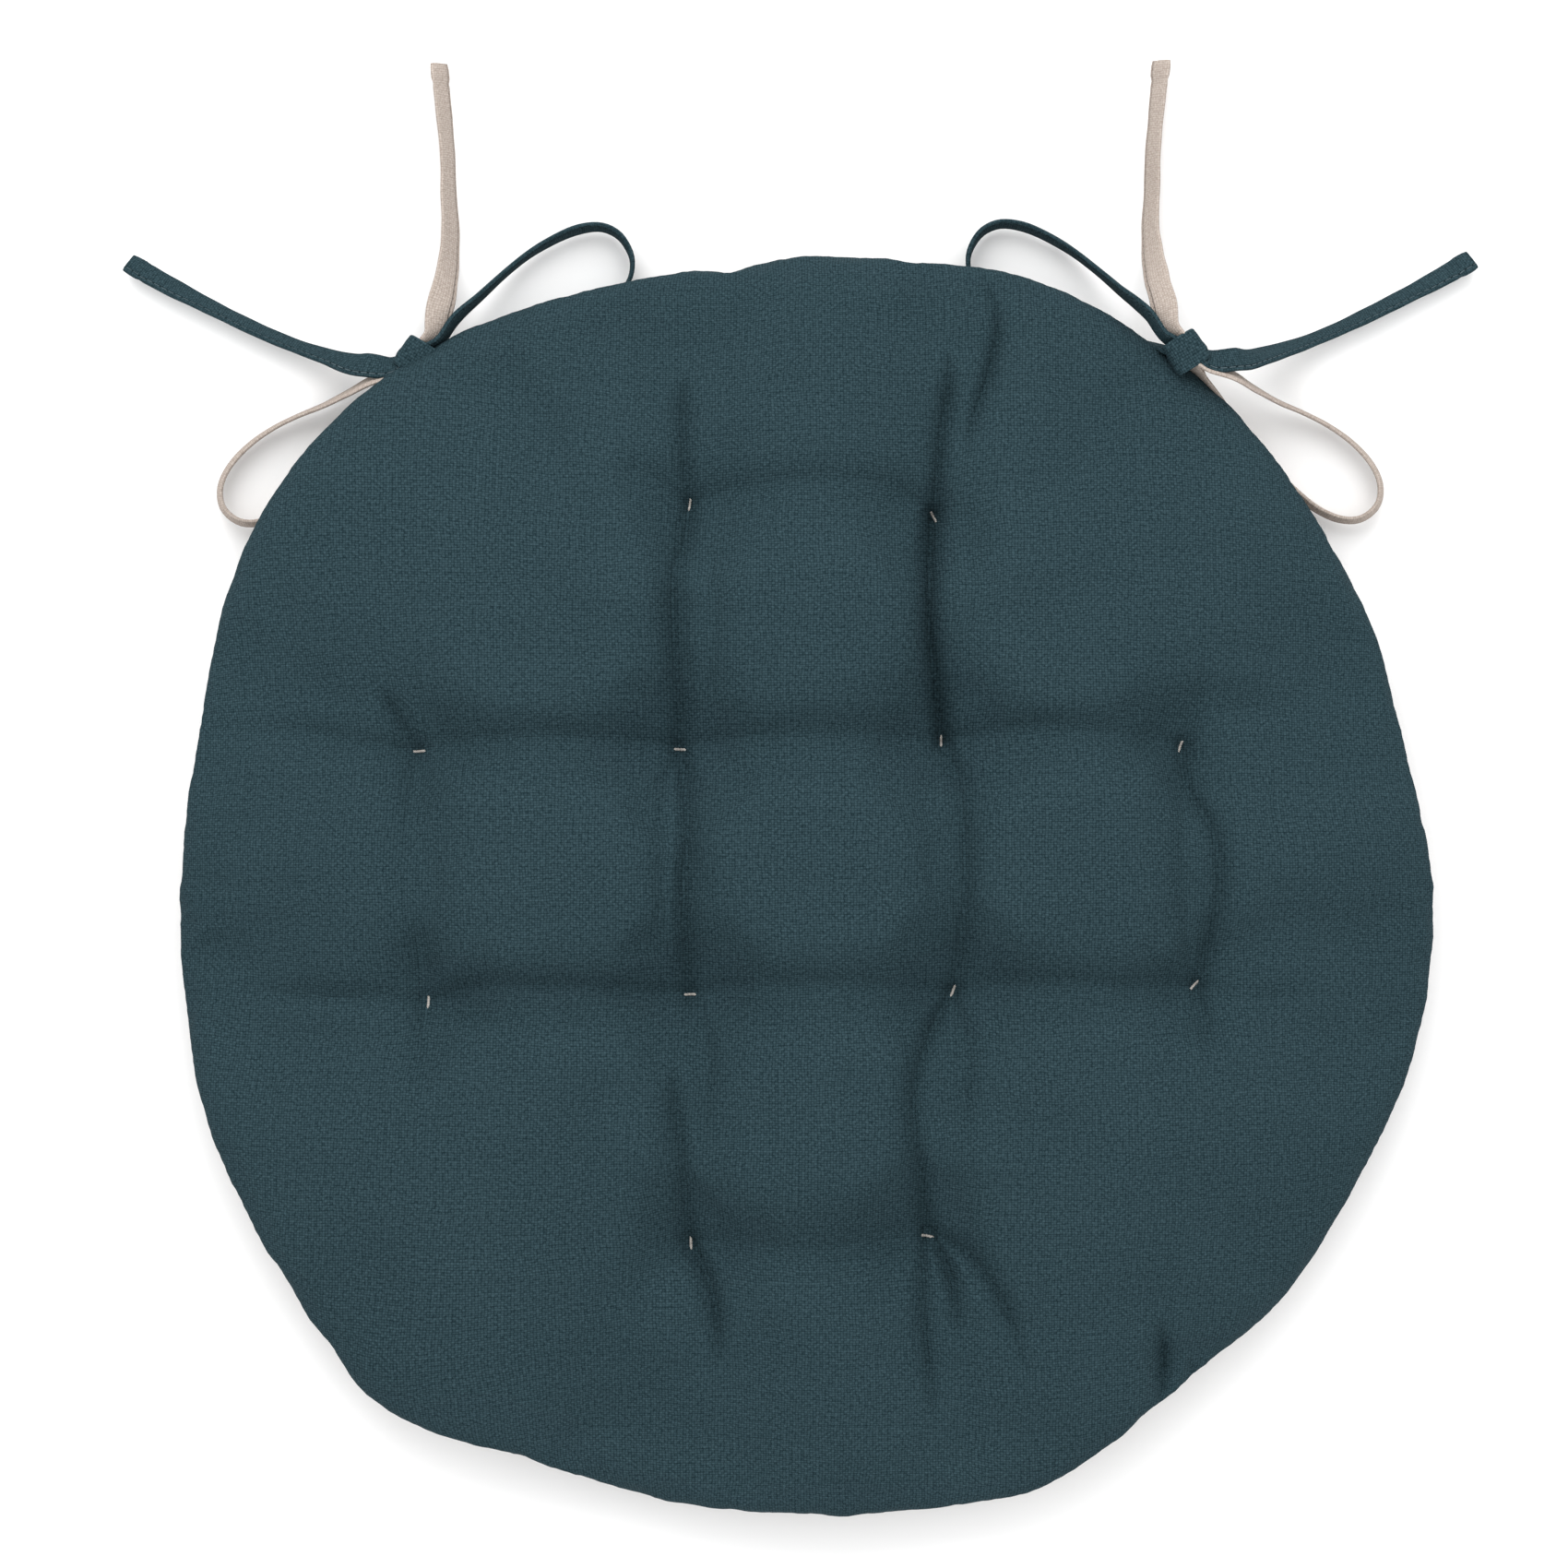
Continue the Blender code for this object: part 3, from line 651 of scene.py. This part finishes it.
def hold_rim(places):
    """Draw the swollen cushion in so that its outline is the one given by RIM_OFFSETS."""
    angles = np.arctan2(places[:, 1], places[:, 0])
    reach = np.linalg.norm(places[:, :2], axis=1)
    sector = np.floor((angles + math.pi) / (2 * math.pi) * SECTORS).astype(int) % SECTORS
    outermost = np.array([reach[sector == number].max() for number in range(SECTORS)])
    middles = (np.arange(SECTORS) + 0.5) / SECTORS * 2 * math.pi - math.pi
    wrapped = np.concatenate([middles - 2 * math.pi, middles, middles + 2 * math.pi])
    outline = np.interp(angles, wrapped, np.tile(outermost, 3))
    excess = outline - rim_radius(angles) - RIM_ROUNDING
    factor = 1 - excess * (reach / outline) ** 6 / np.maximum(reach, 0.001)
    places[:, :2] *= factor[:, None]
    return places


def at_tuft(point):
    return np.hypot(TUFTS[:, 0] - point[0], TUFTS[:, 1] - point[1]).min() < TUFT_REACH


def fold_depth(places, line, depth, width):
    """Depth of one fold at each place: it tapers off towards an end that isn't at a tuft."""
    away, along = line_distance(places[:, :2], smooth_line(line))
    taper = np.ones(len(places))
    if not at_tuft(line[0]):
        taper *= np.clip(along * END_TAPER, 0, 1)
    if not at_tuft(line[-1]):
        taper *= np.clip((1 - along) * END_TAPER, 0, 1)
    width = width * (0.45 + 0.55 * taper)
    groove = 0.55 * np.exp(-((away / width) ** 2)) + 0.45 * np.exp(-away / (0.3 * width))
    return depth * taper * groove


def press_folds(places, deeper=1.0, wider=1.0):
    """Press the soft valleys between tufts, each tuft's dimple and the folds into the panel.

    Where folds meet, the deepest counts most.
    """
    nearest = np.full(len(places), np.inf)
    for first, second in VALLEYS:
        away, _ = line_distance(places[:, :2], TUFTS[[first, second], :2])
        nearest = np.minimum(nearest, away)
    pressed = SOFT_VALLEY * np.exp(-((nearest / VALLEY_WIDTH) ** 2))
    for x, y, _, _ in TUFTS:
        away = np.hypot(places[:, 0] - x, places[:, 1] - y)
        pressed += DIMPLE_DEPTH * np.exp(-away / DIMPLE_WIDTH)
    total = np.zeros(len(places))
    for line, depth, width in FOLDS:
        total += fold_depth(places, line, depth, width * wider) ** 3
    above = np.clip((places[:, 2] - WIDEST_HEIGHT) / RIM_SHOULDER, 0, 1)
    places[:, 2] -= pressed * above + deeper * np.cbrt(total) * above
    return places


def refine_by_folds(data):
    """Cut the faces finer along the crisp folds."""
    mesh = bmesh.new()
    mesh.from_mesh(data)
    middles = np.array([edge.verts[0].co + edge.verts[1].co for edge in mesh.edges])[:, :2] / 2
    near = np.zeros(len(middles), dtype=bool)
    for line, depth, width in FOLDS:
        if depth / width > CRISP:
            away, _ = line_distance(middles, smooth_line(line))
            near |= away < 1.3 * width
    mesh.edges.ensure_lookup_table()
    chosen = [mesh.edges[number] for number in np.nonzero(near)[0]]
    bmesh.ops.subdivide_edges(mesh, edges=chosen, cuts=2, use_grid_fill=True)
    mesh.to_mesh(data)
    mesh.free()


def soften(data):
    """Even out the upper side's heights, which blurs the rims of the hollows round the tufts."""
    now = coordinates(data)
    ends = np.empty(2 * len(data.edges), dtype=int)
    data.edges.foreach_get("vertices", ends)
    first, second = ends[0::2], ends[1::2]
    neighbours = np.bincount(ends, minlength=len(now))
    upper = now[:, 2] > SOFTEN_ABOVE
    for _ in range(SOFTEN_ROUNDS):
        total = np.bincount(first, now[second, 2], len(now))
        total += np.bincount(second, now[first, 2], len(now))
        now[upper, 2] += 0.5 * (total / neighbours - now[:, 2])[upper]
    data.vertices.foreach_set("co", now.ravel())


def finish_panel(name, places, flat, faces, side, finish):
    """One swollen panel: smoothed, given its fine creases, and as thick as the fabric."""
    used = np.unique(np.array(faces))
    renumber = np.full(len(places), -1)
    renumber[used] = np.arange(len(used))
    item = mesh_object(name, places[used], renumber[np.array(faces)])
    with_map(item, flat[used])
    smoother = item.modifiers.new("smoother", "SUBSURF")
    smoother.levels = 1
    smoother.render_levels = 1
    apply_modifiers(item)
    if side > 0:
        soften(item.data)
        refine_by_folds(item.data)
    now = coordinates(item.data)
    out = coordinates(item.data, "normal")
    fine = BROAD_RIPPLE[0] * ripples(now, BROAD_RIPPLE[1], SEED + side)
    fine += FINE_RIPPLE[0] * ripples(now, FINE_RIPPLE[1], SEED)
    if side > 0:
        now = press_folds(now)
    now = now + out * fine[:, None]
    now[:, 2] = np.maximum(now[:, 2], CLEARANCE)
    item.data.vertices.foreach_set("co", now.ravel())
    cloth = item.modifiers.new("fabric", "SOLIDIFY")
    cloth.thickness = FABRIC
    cloth.offset = -1
    apply_modifiers(item)
    item.data.materials.clear()
    item.data.materials.append(finish)
    item.data.shade_smooth()
    return item


def make_cushion(teal, beige, fibre):
    places, flat, top_faces, low_faces, pinned, inner = cushion_start()
    places = blow_up(places, top_faces + low_faces, pinned)
    places = hold_rim(places)
    rim = places[inner : inner + 6 * RINGS].copy()
    underside = np.arange(len(places)) >= inner + 6 * RINGS
    places[underside, 2] = np.maximum(places[underside, 2], CLEARANCE)
    top = finish_panel("top_panel", places, flat, top_faces, 1, teal)
    low = finish_panel("lower_panel", places, flat, low_faces, -1, beige)
    pad = mesh_object("fibre_pad", places, top_faces + low_faces)
    drawn_in = coordinates(pad.data) - coordinates(pad.data, "normal") * (3 * FABRIC)
    reach = np.hypot(drawn_in[:, 0], drawn_in[:, 1]) / RADIUS
    drawn_in[:, :2] *= 1 - PAD_INSET * np.clip(1 - (1 - reach) / PAD_MARGIN, 0, 1)[:, None]
    upper = drawn_in[:, 2] > WIDEST_HEIGHT
    drawn_in[upper] = press_folds(drawn_in[upper], PAD_DEEPER, PAD_WIDER) - (0, 0, PAD_LOWER)
    pad.data.vertices.foreach_set("co", drawn_in.ravel())
    pad.data.materials.append(fibre)
    pad.data.shade_smooth()
    for item, node, slot in (
        (top, "top_cover", "teal_canvas"),
        (low, "bottom_cover", "beige_canvas"),
        (pad, "filling", "polyester_fibre"),
    ):
        on_cushion(item, slot, node)
    return top, low, rim


# --- Tufts and seam -------------------------------------------------------------------------

PLY_RADIUS = 0.00024
PLY_TWIST = 0.0021  # length of thread in one turn
STITCH_LENGTH = 0.0038
STITCH_RISE = 0.0005
STITCH_STEP = 0.0005
SEAM_STEP = 0.0016
SEAM_INSET = 0.0012


def node_points(name):
    return coordinates(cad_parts[name].data)


def stitch_direction(name):
    """The level direction in which a tuft's CAD thread is widest."""
    level = node_points(name)[:, :2]
    spread = np.cov((level - level.mean(axis=0)).T)
    return np.linalg.eigh(spread)[1][:, 1]


def cloth_height(tree, x, y, side):
    found = tree.ray_cast(Vector((x, y, 0.2 * side)), Vector((0, 0, -side)))
    return found[0].z


def plies(path, closed, count=3):
    """Strands twisted round each other along a path: one list of points for each."""
    path = np.array(path)
    ahead = np.roll(path, -1, axis=0) - np.roll(path, 1, axis=0)
    if not closed:
        ahead[0], ahead[-1] = path[1] - path[0], path[-1] - path[-2]
    ahead /= np.linalg.norm(ahead, axis=1)[:, None]
    side = np.cross(ahead, np.array([0.31, 0.27, 0.91]))
    side /= np.linalg.norm(side, axis=1)[:, None]
    up = np.cross(side, ahead)
    length = running_length(path)
    turns = round(length[-1] / PLY_TWIST)
    strands = []
    for ply in range(count):
        angle = 2 * math.pi * (turns * length / length[-1] + ply / count)
        offset = np.cos(angle)[:, None] * side + np.sin(angle)[:, None] * up
        strands.append(path + offset * PLY_RADIUS * 1.05)
    return strands


def strand_object(name, strands, radius, closed, finish):
    data = bpy.data.curves.new(name, "CURVE")
    data.dimensions = "3D"
    data.bevel_depth = radius
    data.bevel_resolution = 1
    data.use_fill_caps = True
    for strand in strands:
        spline = data.splines.new("POLY")
        spline.points.add(len(strand) - 1)
        spline.points.foreach_set("co", np.c_[strand, np.ones(len(strand))].ravel())
        spline.use_cyclic_u = closed
        spline.use_smooth = True
    data.materials.append(finish)
    return add_object(name, data)


def even_points(points, step):
    """Points at even steps along a broken line; a fourth column is carried along."""
    points = np.array(points)
    length = running_length(points[:, :3])
    at = np.linspace(0, length[-1], round(length[-1] / step) + 1)
    return np.stack([np.interp(at, length, column) for column in points.T], axis=1)


def make_tuft(name, top_tree, low_tree, finish):
    """Two short bars of twisted thread, joined through the cushion by two legs."""
    low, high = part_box(name)
    middle = np.array([(low[0] + high[0]) / 2, (low[1] + high[1]) / 2])
    along = stitch_direction(name)
    shares = np.linspace(-0.5, 0.5, 9)
    loop = []
    for side, tree in ((1, top_tree), (-1, low_tree)):
        for share in shares * side:
            x, y = middle + along * share * STITCH_LENGTH
            arch = STITCH_RISE * math.cos(math.pi * share) - PLY_RADIUS
            height = cloth_height(tree, x, y, side)
            if side < 0:
                arch = min(arch, height - 2.2 * PLY_RADIUS)
            loop.append((x, y, height + side * arch))
    loop.append(loop[0])
    path = even_points(loop, STITCH_STEP)[:-1]
    item = strand_object(name + "_stitch", plies(path, True), PLY_RADIUS, True, finish)
    on_cushion(item, "sewing_thread", name)


def make_seam(rim, finish):
    """The seam's twisted thread, just inside the line where the two panels meet."""
    closed = np.vstack([rim, rim[:1]])
    path = even_points(closed, SEAM_STEP)[:-1]
    inward = path[:, :2] / np.linalg.norm(path[:, :2], axis=1)[:, None]
    path[:, :2] -= inward * SEAM_INSET
    item = strand_object("seam_stitching", plies(path, True, 2), PLY_RADIUS, True, finish)
    on_cushion(item, "sewing_thread", "seam_thread")


# --- Ties ----------------------------------------------------------------------------------

TIE_WIDTH = 0.009
TIE_THICKNESS = 0.0014
TIE_STEP = 0.0016
HEM_LENGTH = 0.0055
HEM_STITCH = (0.0062, 0.0007)  # distance from the end, half width
BOW_ANGLE = 35.7
BOW_REACH = 0.20541  # from the middle to the rim at a bow, in the CAD model
BOW_SHIFTS = {-1: (-0.0022, -0.0010, 0), 1: (-0.0003, 0.0, 0)}  # the bows from where CAD has them
KNOT_HEIGHT = 0.0298
KNOT_HEIGHTS = {-1: 0.0165, 1: KNOT_HEIGHT}  # the left knot has slipped below the rim
KNOT_MIDDLE = 0.0034
LOOP_LANE = 0.0038
BACK_LANE = 0.0010
TAIL_LANE = 0.0066
KNOT_EXIT = 0.0090
# The ties' ways through a knot: metres along towards their loop, outward and up, and the tilt
FIRST_IN = (0.0035, LOOP_LANE, -0.001, 60)
BACK_UNDER = (0.0068, BACK_LANE, -0.0080)
LAST_OUT = (
    (0.003, BACK_LANE + 0.001, -0.002, 70),
    (-0.003, TAIL_LANE - 0.0012, 0, 66),
    (-KNOT_EXIT, TAIL_LANE, 0, 42),
)

# The tapes' routes, close to the CAD model's: millimetres along the rim away from the knot,
# millimetres outward, and height as a share of the knot's
TEAL_LOOP = (
    (-17, 6.8, 0.86), (-28, 8.5, 0.48), (-40, 10.3, 0.14), (-50, 10.8, 0.01), (-60, 9.7, 0.0),
    (-67, 7.8, 0.0), (-72.5, 4.6, 0.0), (-75.5, 0, 0.0), (-76, -5, 0.0), (-74.5, -10.4, 0.0),
    (-70, -14.8, 0.0), (-63, -16.5, 0.0), (-54, -15, 0.0), (-44, -12.5, 0.01), (-35, -9, 0.06),
    (-28, -6.2, 0.16), (-22, -4.5, 0.28), (-16.5, -2.5, 0.42),
)
BEIGE_LOOP = (
    (17, 6.6, 0.88), (25, 8, 0.58), (34, 9.8, 0.24), (42.5, 12, 0.07), (51.5, 13.5, 0.01),
    (60.5, 13.6, 0.0), (69, 12, 0.0), (75.5, 8.6, 0.0), (79, 3.5, 0.0), (79, -1.5, 0.0),
    (76.5, -6, 0.0), (71, -9.2, 0.0), (63, -10.5, 0.0), (53, -9.8, 0.0), (44, -8.2, 0.0),
    (35.7, -6.2, 0.05), (28, -4.5, 0.16), (22, -3, 0.28), (16.5, -1.5, 0.42),
)
BEIGE_TAIL = (
    (-14.5, 12, 0.93), (-20, 17, 0.72), (-26, 23.5, 0.36), (-33, 32.5, 0.10), (-39, 42, 0.01),
    (-45.5, 51.5, 0.0), (-51.5, 61.5, 0.0), (-57, 71, 0.0), (-61, 78, 0.0),
)
TEAL_TAIL = (
    (14.5, 11.4, 0.93), (18.5, 15.2, 0.72), (23.5, 22, 0.36), (29.3, 30.2, 0.10),
    (35.2, 39.6, 0.01), (41, 50, 0.0), (47, 61.5, 0.0), (52.5, 72.5, 0.0), (58, 84.5, 0.0),
)

# How far a tie stands up on its edge, evenly along its loop and along its tail
LOOP_TILTS = {
    "teal": (76, 87, 84, 80, 81, 83, 87, 84, 81, 80, 78, 74),
    "beige": (72, 80, 84, 81, 79, 80, 83, 85, 84, 81, 78, 74),
}
TAIL_TILTS = {"teal": (30, 42, 58, 63, 62, 58, 50, 44), "beige": (22, 32, 50, 62, 64, 64, 62, 56)}

# Half of a folded tape's section: across as a share of half the width, up as a share of half
# the thickness. The dip is the topstitching, and the last point is the folded edge.
SECTION = (
    (-1.0, 0.30), (-0.96, 0.75), (-0.88, 1.0), (-0.80, 0.98), (-0.74, 0.55), (-0.68, 0.98),
    (-0.45, 1.05), (-0.1, 1.08), (0.3, 1.05), (0.7, 1.0), (0.92, 0.80), (1.0, 0.35),
)


def bow_frame(side):
    angle = math.radians(BOW_ANGLE)
    outward = np.array([side * math.sin(angle), math.cos(angle), 0])
    along = np.array([side * math.cos(angle), -math.sin(angle), 0])
    return outward * BOW_REACH + np.array(BOW_SHIFTS[side]), along, outward


def in_bow(side, along_rim, out, height):
    origin, along, outward = bow_frame(side)
    return origin + along * along_rim + outward * out + np.array([0, 0, height])


def resting_height(tilt):
    """Height of a tape's middle when it stands on the floor on its lower edge."""
    return TIE_WIDTH / 2 * math.sin(math.radians(tilt)) + TIE_THICKNESS * 0.6 + 0.0002


def tie_route(side, direction, loop, loop_tilts, tail, tail_tilts):
    """A whole tie from the seam: into the knot, round the loop, back through, and the tail.

    Each row is a place and the tilt there: how far the tape stands up on its edge, in degrees.
    """
    knot = KNOT_HEIGHTS[side]
    rows = []

    def add(along, out, height, tilt):
        rows.append((*in_bow(side, along, out, height), tilt))

    def add_all(points, tilts):
        spread = np.interp(np.linspace(0, 1, len(points)), np.linspace(0, 1, len(tilts)), tilts)
        for (along, out, share), tilt in zip(points, spread):
            low = resting_height(tilt)
            add(along / 1000, out / 1000, low + share * (knot - low), tilt)

    def add_in_knot(along, out, rise, tilt):
        add(direction * along, out, knot + rise, tilt)

    add(0, -0.0045, SEAM_LOW, 10)
    add(0, 0.0005, SEAM_LOW + 0.002, 20)
    add_in_knot(*FIRST_IN)
    add_in_knot(KNOT_EXIT, LOOP_LANE, 0, loop_tilts[0])
    add_all(loop, loop_tilts)
    add_in_knot(*BACK_UNDER, loop_tilts[-1])
    for row in LAST_OUT:
        add_in_knot(*row)
    add_all(tail, tail_tilts)
    return np.array(rows)


def tape_mesh(name, centres, tilts, mirror, edge, finish):
    """A folded, topstitched tape swept along its centreline, with a hem at the free end.

    Mirror is -1 for the left bow, whose tapes lean the other way, and edge is the side of the
    tape with the topstitching.
    """
    ahead = np.gradient(centres, axis=0)
    ahead /= np.linalg.norm(ahead, axis=1)[:, None]
    level = np.cross(ahead, (0, 0, 1.0)) * mirror
    level /= np.maximum(np.linalg.norm(level, axis=1), 1e-6)[:, None]
    up = np.cross(level, ahead) * mirror
    turn = np.radians(tilts)[:, None]
    across = np.cos(turn) * level + np.sin(turn) * up
    face = -np.sin(turn) * level + np.cos(turn) * up
    length = running_length(centres)
    section = list(SECTION) + [(a, -b) for a, b in SECTION[::-1]]
    mesh = bmesh.new()
    weave = mesh.loops.layers.uv.new("weave")
    edge_map = mesh.loops.layers.uv.new("edge")
    total = length[-1]
    rows = []
    for index, centre in enumerate(centres):
        from_end = total - length[index]
        stitched = abs(from_end - HEM_STITCH[0]) < HEM_STITCH[1]
        hem = 1.0 + 0.35 * (from_end < HEM_LENGTH) - 0.45 * stitched
        round_off = 1 - 0.10 * math.exp(-from_end / 0.0009)
        ease = 1 + 0.03 * math.sin(length[index] * 190) + 0.02 * math.sin(length[index] * 517)
        row = []
        for a, b in section:
            place = centre + across[index] * edge * a * TIE_WIDTH / 2 * round_off * ease
            place = place + face[index] * b * TIE_THICKNESS / 2 * hem
            row.append(mesh.verts.new(place))
        rows.append(row)
    count = len(section)
    girth = [0.0]
    for (a, b), (c, d) in zip(section, section[1:] + section[:1]):
        girth.append(girth[-1] + math.hypot((c - a) * TIE_WIDTH / 2, (d - b) * TIE_THICKNESS / 2))
    for index in range(len(rows) - 1):
        for spot in range(count):
            after = (spot + 1) % count
            quad = mesh.faces.new((
                rows[index][spot], rows[index][after],
                rows[index + 1][after], rows[index + 1][spot],
            ))
            ends = (
                (length[index], girth[spot]), (length[index], girth[spot + 1]),
                (length[index + 1], girth[spot + 1]), (length[index + 1], girth[spot]),
            )
            shares = (section[spot][0], section[after][0], section[after][0], section[spot][0])
            for corner, (u, v), share in zip(quad.loops, ends, shares):
                corner[weave].uv = (v, u)
                corner[edge_map].uv = (share, u)
    mesh.faces.new(rows[0][::-1])
    mesh.faces.new(rows[-1])
    return add_closed_mesh(name, mesh, finish), total


def make_tie(prefix, side, colour, direction, loop, tail, finish):
    route = tie_route(side, direction, loop, LOOP_TILTS[colour], tail, TAIL_TILTS[colour])
    line = smooth_line(route, 12)
    even = even_points(line, TIE_STEP)
    name = f"{prefix}_{colour}_tie"
    edge = 1 if colour == "beige" else -1
    tie, length = tape_mesh(name, even[:, :3], even[:, 3], side, edge, finish)
    tail_node = f"{prefix}_{colour}_tail"
    start = in_bow(side, -direction * KNOT_EXIT, TAIL_LANE, KNOT_HEIGHT)
    heading = in_bow(side, tail[2][0] / 1000, tail[2][1] / 1000, KNOT_HEIGHT) - start
    heading[2] = 0
    heading /= np.linalg.norm(heading)
    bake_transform(tie)
    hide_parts(f"{prefix}_{colour}_loop", tail_node)
    return tie


# The knot's outline along the bundle: place as a share of half its length, girth as a share
KNOT_OUTLINE = (
    (-0.62, 0.0), (-0.66, 0.45), (-0.80, 0.70), (-0.93, 0.80), (-0.99, 0.87), (-1.0, 0.93),
    (-0.97, 0.975), (-0.91, 0.995), (-0.80, 1.0), (-0.60, 1.01), (-0.35, 1.015), (-0.10, 1.02),
    (0.10, 1.02), (0.35, 1.015), (0.60, 1.01), (0.80, 1.0), (0.91, 0.995), (0.97, 0.975),
    (1.0, 0.93), (0.99, 0.87), (0.93, 0.80), (0.80, 0.70), (0.66, 0.45), (0.62, 0.0),
)
KNOT_HALF = (0.0053, 0.0058, 0.0046)  # along the bundle, outward, up
KNOT_TURN = 22.0  # degrees the knot is turned from square to the rim
KNOT_SPOKES = 72
KNOT_SQUARENESS = 2.9
KNOT_GIRTH = 0.034
LAP_HEIGHT = 0.09  # of the tape's end that lies over its first turn, as a share of the girth
LAP_ANGLE = 0.95
LAP_SOFTNESS = 0.03


def make_knot(prefix, side, finish):
    """A flat tape wrapped round the bundle, its end tucked over near the outer fold."""
    _, along, outward = bow_frame(side)
    turn = math.radians(KNOT_TURN)
    along, outward = (
        along * math.cos(turn) - outward * math.sin(turn),
        outward * math.cos(turn) + along * math.sin(turn),
    )
    centre = in_bow(side, 0, KNOT_MIDDLE, KNOT_HEIGHTS[side])
    half_along, half_out, half_up = KNOT_HALF
    mesh = bmesh.new()
    weave = mesh.loops.layers.uv.new("weave")
    rows = []
    for share, girth in KNOT_OUTLINE:
        row = []
        for spoke in range(KNOT_SPOKES):
            angle = 2 * math.pi * spoke / KNOT_SPOKES
            cosine, sine = math.cos(angle), math.sin(angle)
            corner_sum = abs(cosine) ** KNOT_SQUARENESS + abs(sine) ** KNOT_SQUARENESS
            square = corner_sum ** (-1 / KNOT_SQUARENESS)
            past_lap = (angle - LAP_ANGLE - 0.10 * share) / LAP_SOFTNESS
            lapped = LAP_HEIGHT / (1 + math.exp(past_lap))
            pull = 0.035 * math.sin(3 * share + 2 * angle) + 0.02 * math.sin(7 * share - 3 * angle)
            reach = girth * square * (1 + (lapped + pull) * min(1.0, girth * 1.2))
            place = centre + along * half_along * (share + 0.06 * sine * share)
            place = place + outward * reach * half_out * cosine
            row.append(mesh.verts.new(place + np.array([0, 0, reach * half_up * sine])))
        rows.append(row)
    for index in range(len(rows) - 1):
        for spoke in range(KNOT_SPOKES):
            after = (spoke + 1) % KNOT_SPOKES
            quad = mesh.faces.new((
                rows[index][spoke], rows[index][after],
                rows[index + 1][after], rows[index + 1][spoke],
            ))
            here, there = KNOT_OUTLINE[index][0], KNOT_OUTLINE[index + 1][0]
            ends = ((here, spoke), (here, spoke + 1), (there, spoke + 1), (there, spoke))
            for corner, (u, v) in zip(quad.loops, ends):
                corner[weave].uv = (u * half_along, v * KNOT_GIRTH / KNOT_SPOKES)
    bmesh.ops.remove_doubles(mesh, verts=rows[0] + rows[-1], dist=0.00001)
    item = add_closed_mesh(prefix + "_knot_wrap", mesh, finish)
    on_cushion(item, "teal_canvas", prefix + "_knot", prefix + "_tie_root")


def make_bow(prefix, side, cloth, teal, beige):
    make_knot(prefix, side, cloth)
    make_tie(prefix, side, "teal", -1, TEAL_LOOP, TEAL_TAIL, teal)
    make_tie(prefix, side, "beige", 1, BEIGE_LOOP, BEIGE_TAIL, beige)


# --- Studio --------------------------------------------------------------------------------

VIEW_WIDTH = 0.500
VIEW_MIDDLE = (-0.0065, 0.0320)
CAMERA_HEIGHT = 1.9
VIEW_HEIGHT = 0.03  # where the view is VIEW_WIDTH wide
FLOOR_SIZE = 8.0
FLOOR_HEIGHT = -0.0004
WORLD_STRENGTH = 1.22
LIGHTS = (  # name, place, size, power
    ("key", (-0.20, 1.5, 1.5), 1.8, 24.0),
    ("fill", (0.1, 0.5, 2.1), 2.4, 8.0),
)


def make_studio():
    bpy.ops.mesh.primitive_plane_add(size=FLOOR_SIZE, location=(0, 0, FLOOR_HEIGHT))
    floor = bpy.context.object
    floor.name = "floor"
    floor.data.materials.append(floor_material())
    world = bpy.data.worlds.new("studio")
    world.use_nodes = True
    world.node_tree.nodes["Background"].inputs[0].default_value = (1.0, 1.0, 1.0, 1)
    world.node_tree.nodes["Background"].inputs[1].default_value = WORLD_STRENGTH
    bpy.context.scene.world = world
    for name, place, size, power in LIGHTS:
        light = bpy.data.lights.new(name, "AREA")
        light.size = size
        light.energy = power
        lamp = add_object(name, light)
        lamp.location = place
        lamp.rotation_euler = (-Vector(place)).to_track_quat("-Z", "Y").to_euler()
    camera_data = bpy.data.cameras.new("camera")
    distance = CAMERA_HEIGHT - VIEW_HEIGHT
    camera_data.lens = camera_data.sensor_width * distance / VIEW_WIDTH
    camera = add_object("camera", camera_data)
    camera.location = (*VIEW_MIDDLE, CAMERA_HEIGHT)
    bpy.context.scene.camera = camera
    bpy.context.scene.view_settings.view_transform = "Standard"


make_studio()
teal_cloth = woven_material("teal_canvas_look", TEAL_DARK, TEAL_LIGHT)
beige_cloth = woven_material("beige_canvas_look", BEIGE_DARK, BEIGE_LIGHT)
thread_look = thread_material()
teal_tape = woven_material("teal_tape_look", TEAL_DARK, TEAL_LIGHT, tape=TEAL_GROOVE_SHADE_AND_THREAD)
beige_tape = woven_material("beige_tape_look", BEIGE_DARK, BEIGE_LIGHT, tape=BEIGE_GROOVE_SHADE_AND_THREAD)
make_bow("left", -1, teal_cloth, teal_tape, beige_tape)
make_bow("right", 1, teal_cloth, teal_tape, beige_tape)
top_panel, lower_panel, rim_line = make_cushion(teal_cloth, beige_cloth, fibre_material())
graph = bpy.context.evaluated_depsgraph_get()
graph.update()
top_tree = BVHTree.FromObject(top_panel, graph)
low_tree = BVHTree.FromObject(lower_panel, graph)
for tuft_name in TUFT_NODES:
    make_tuft(tuft_name, top_tree, low_tree, thread_look)
make_seam(rim_line, thread_look)
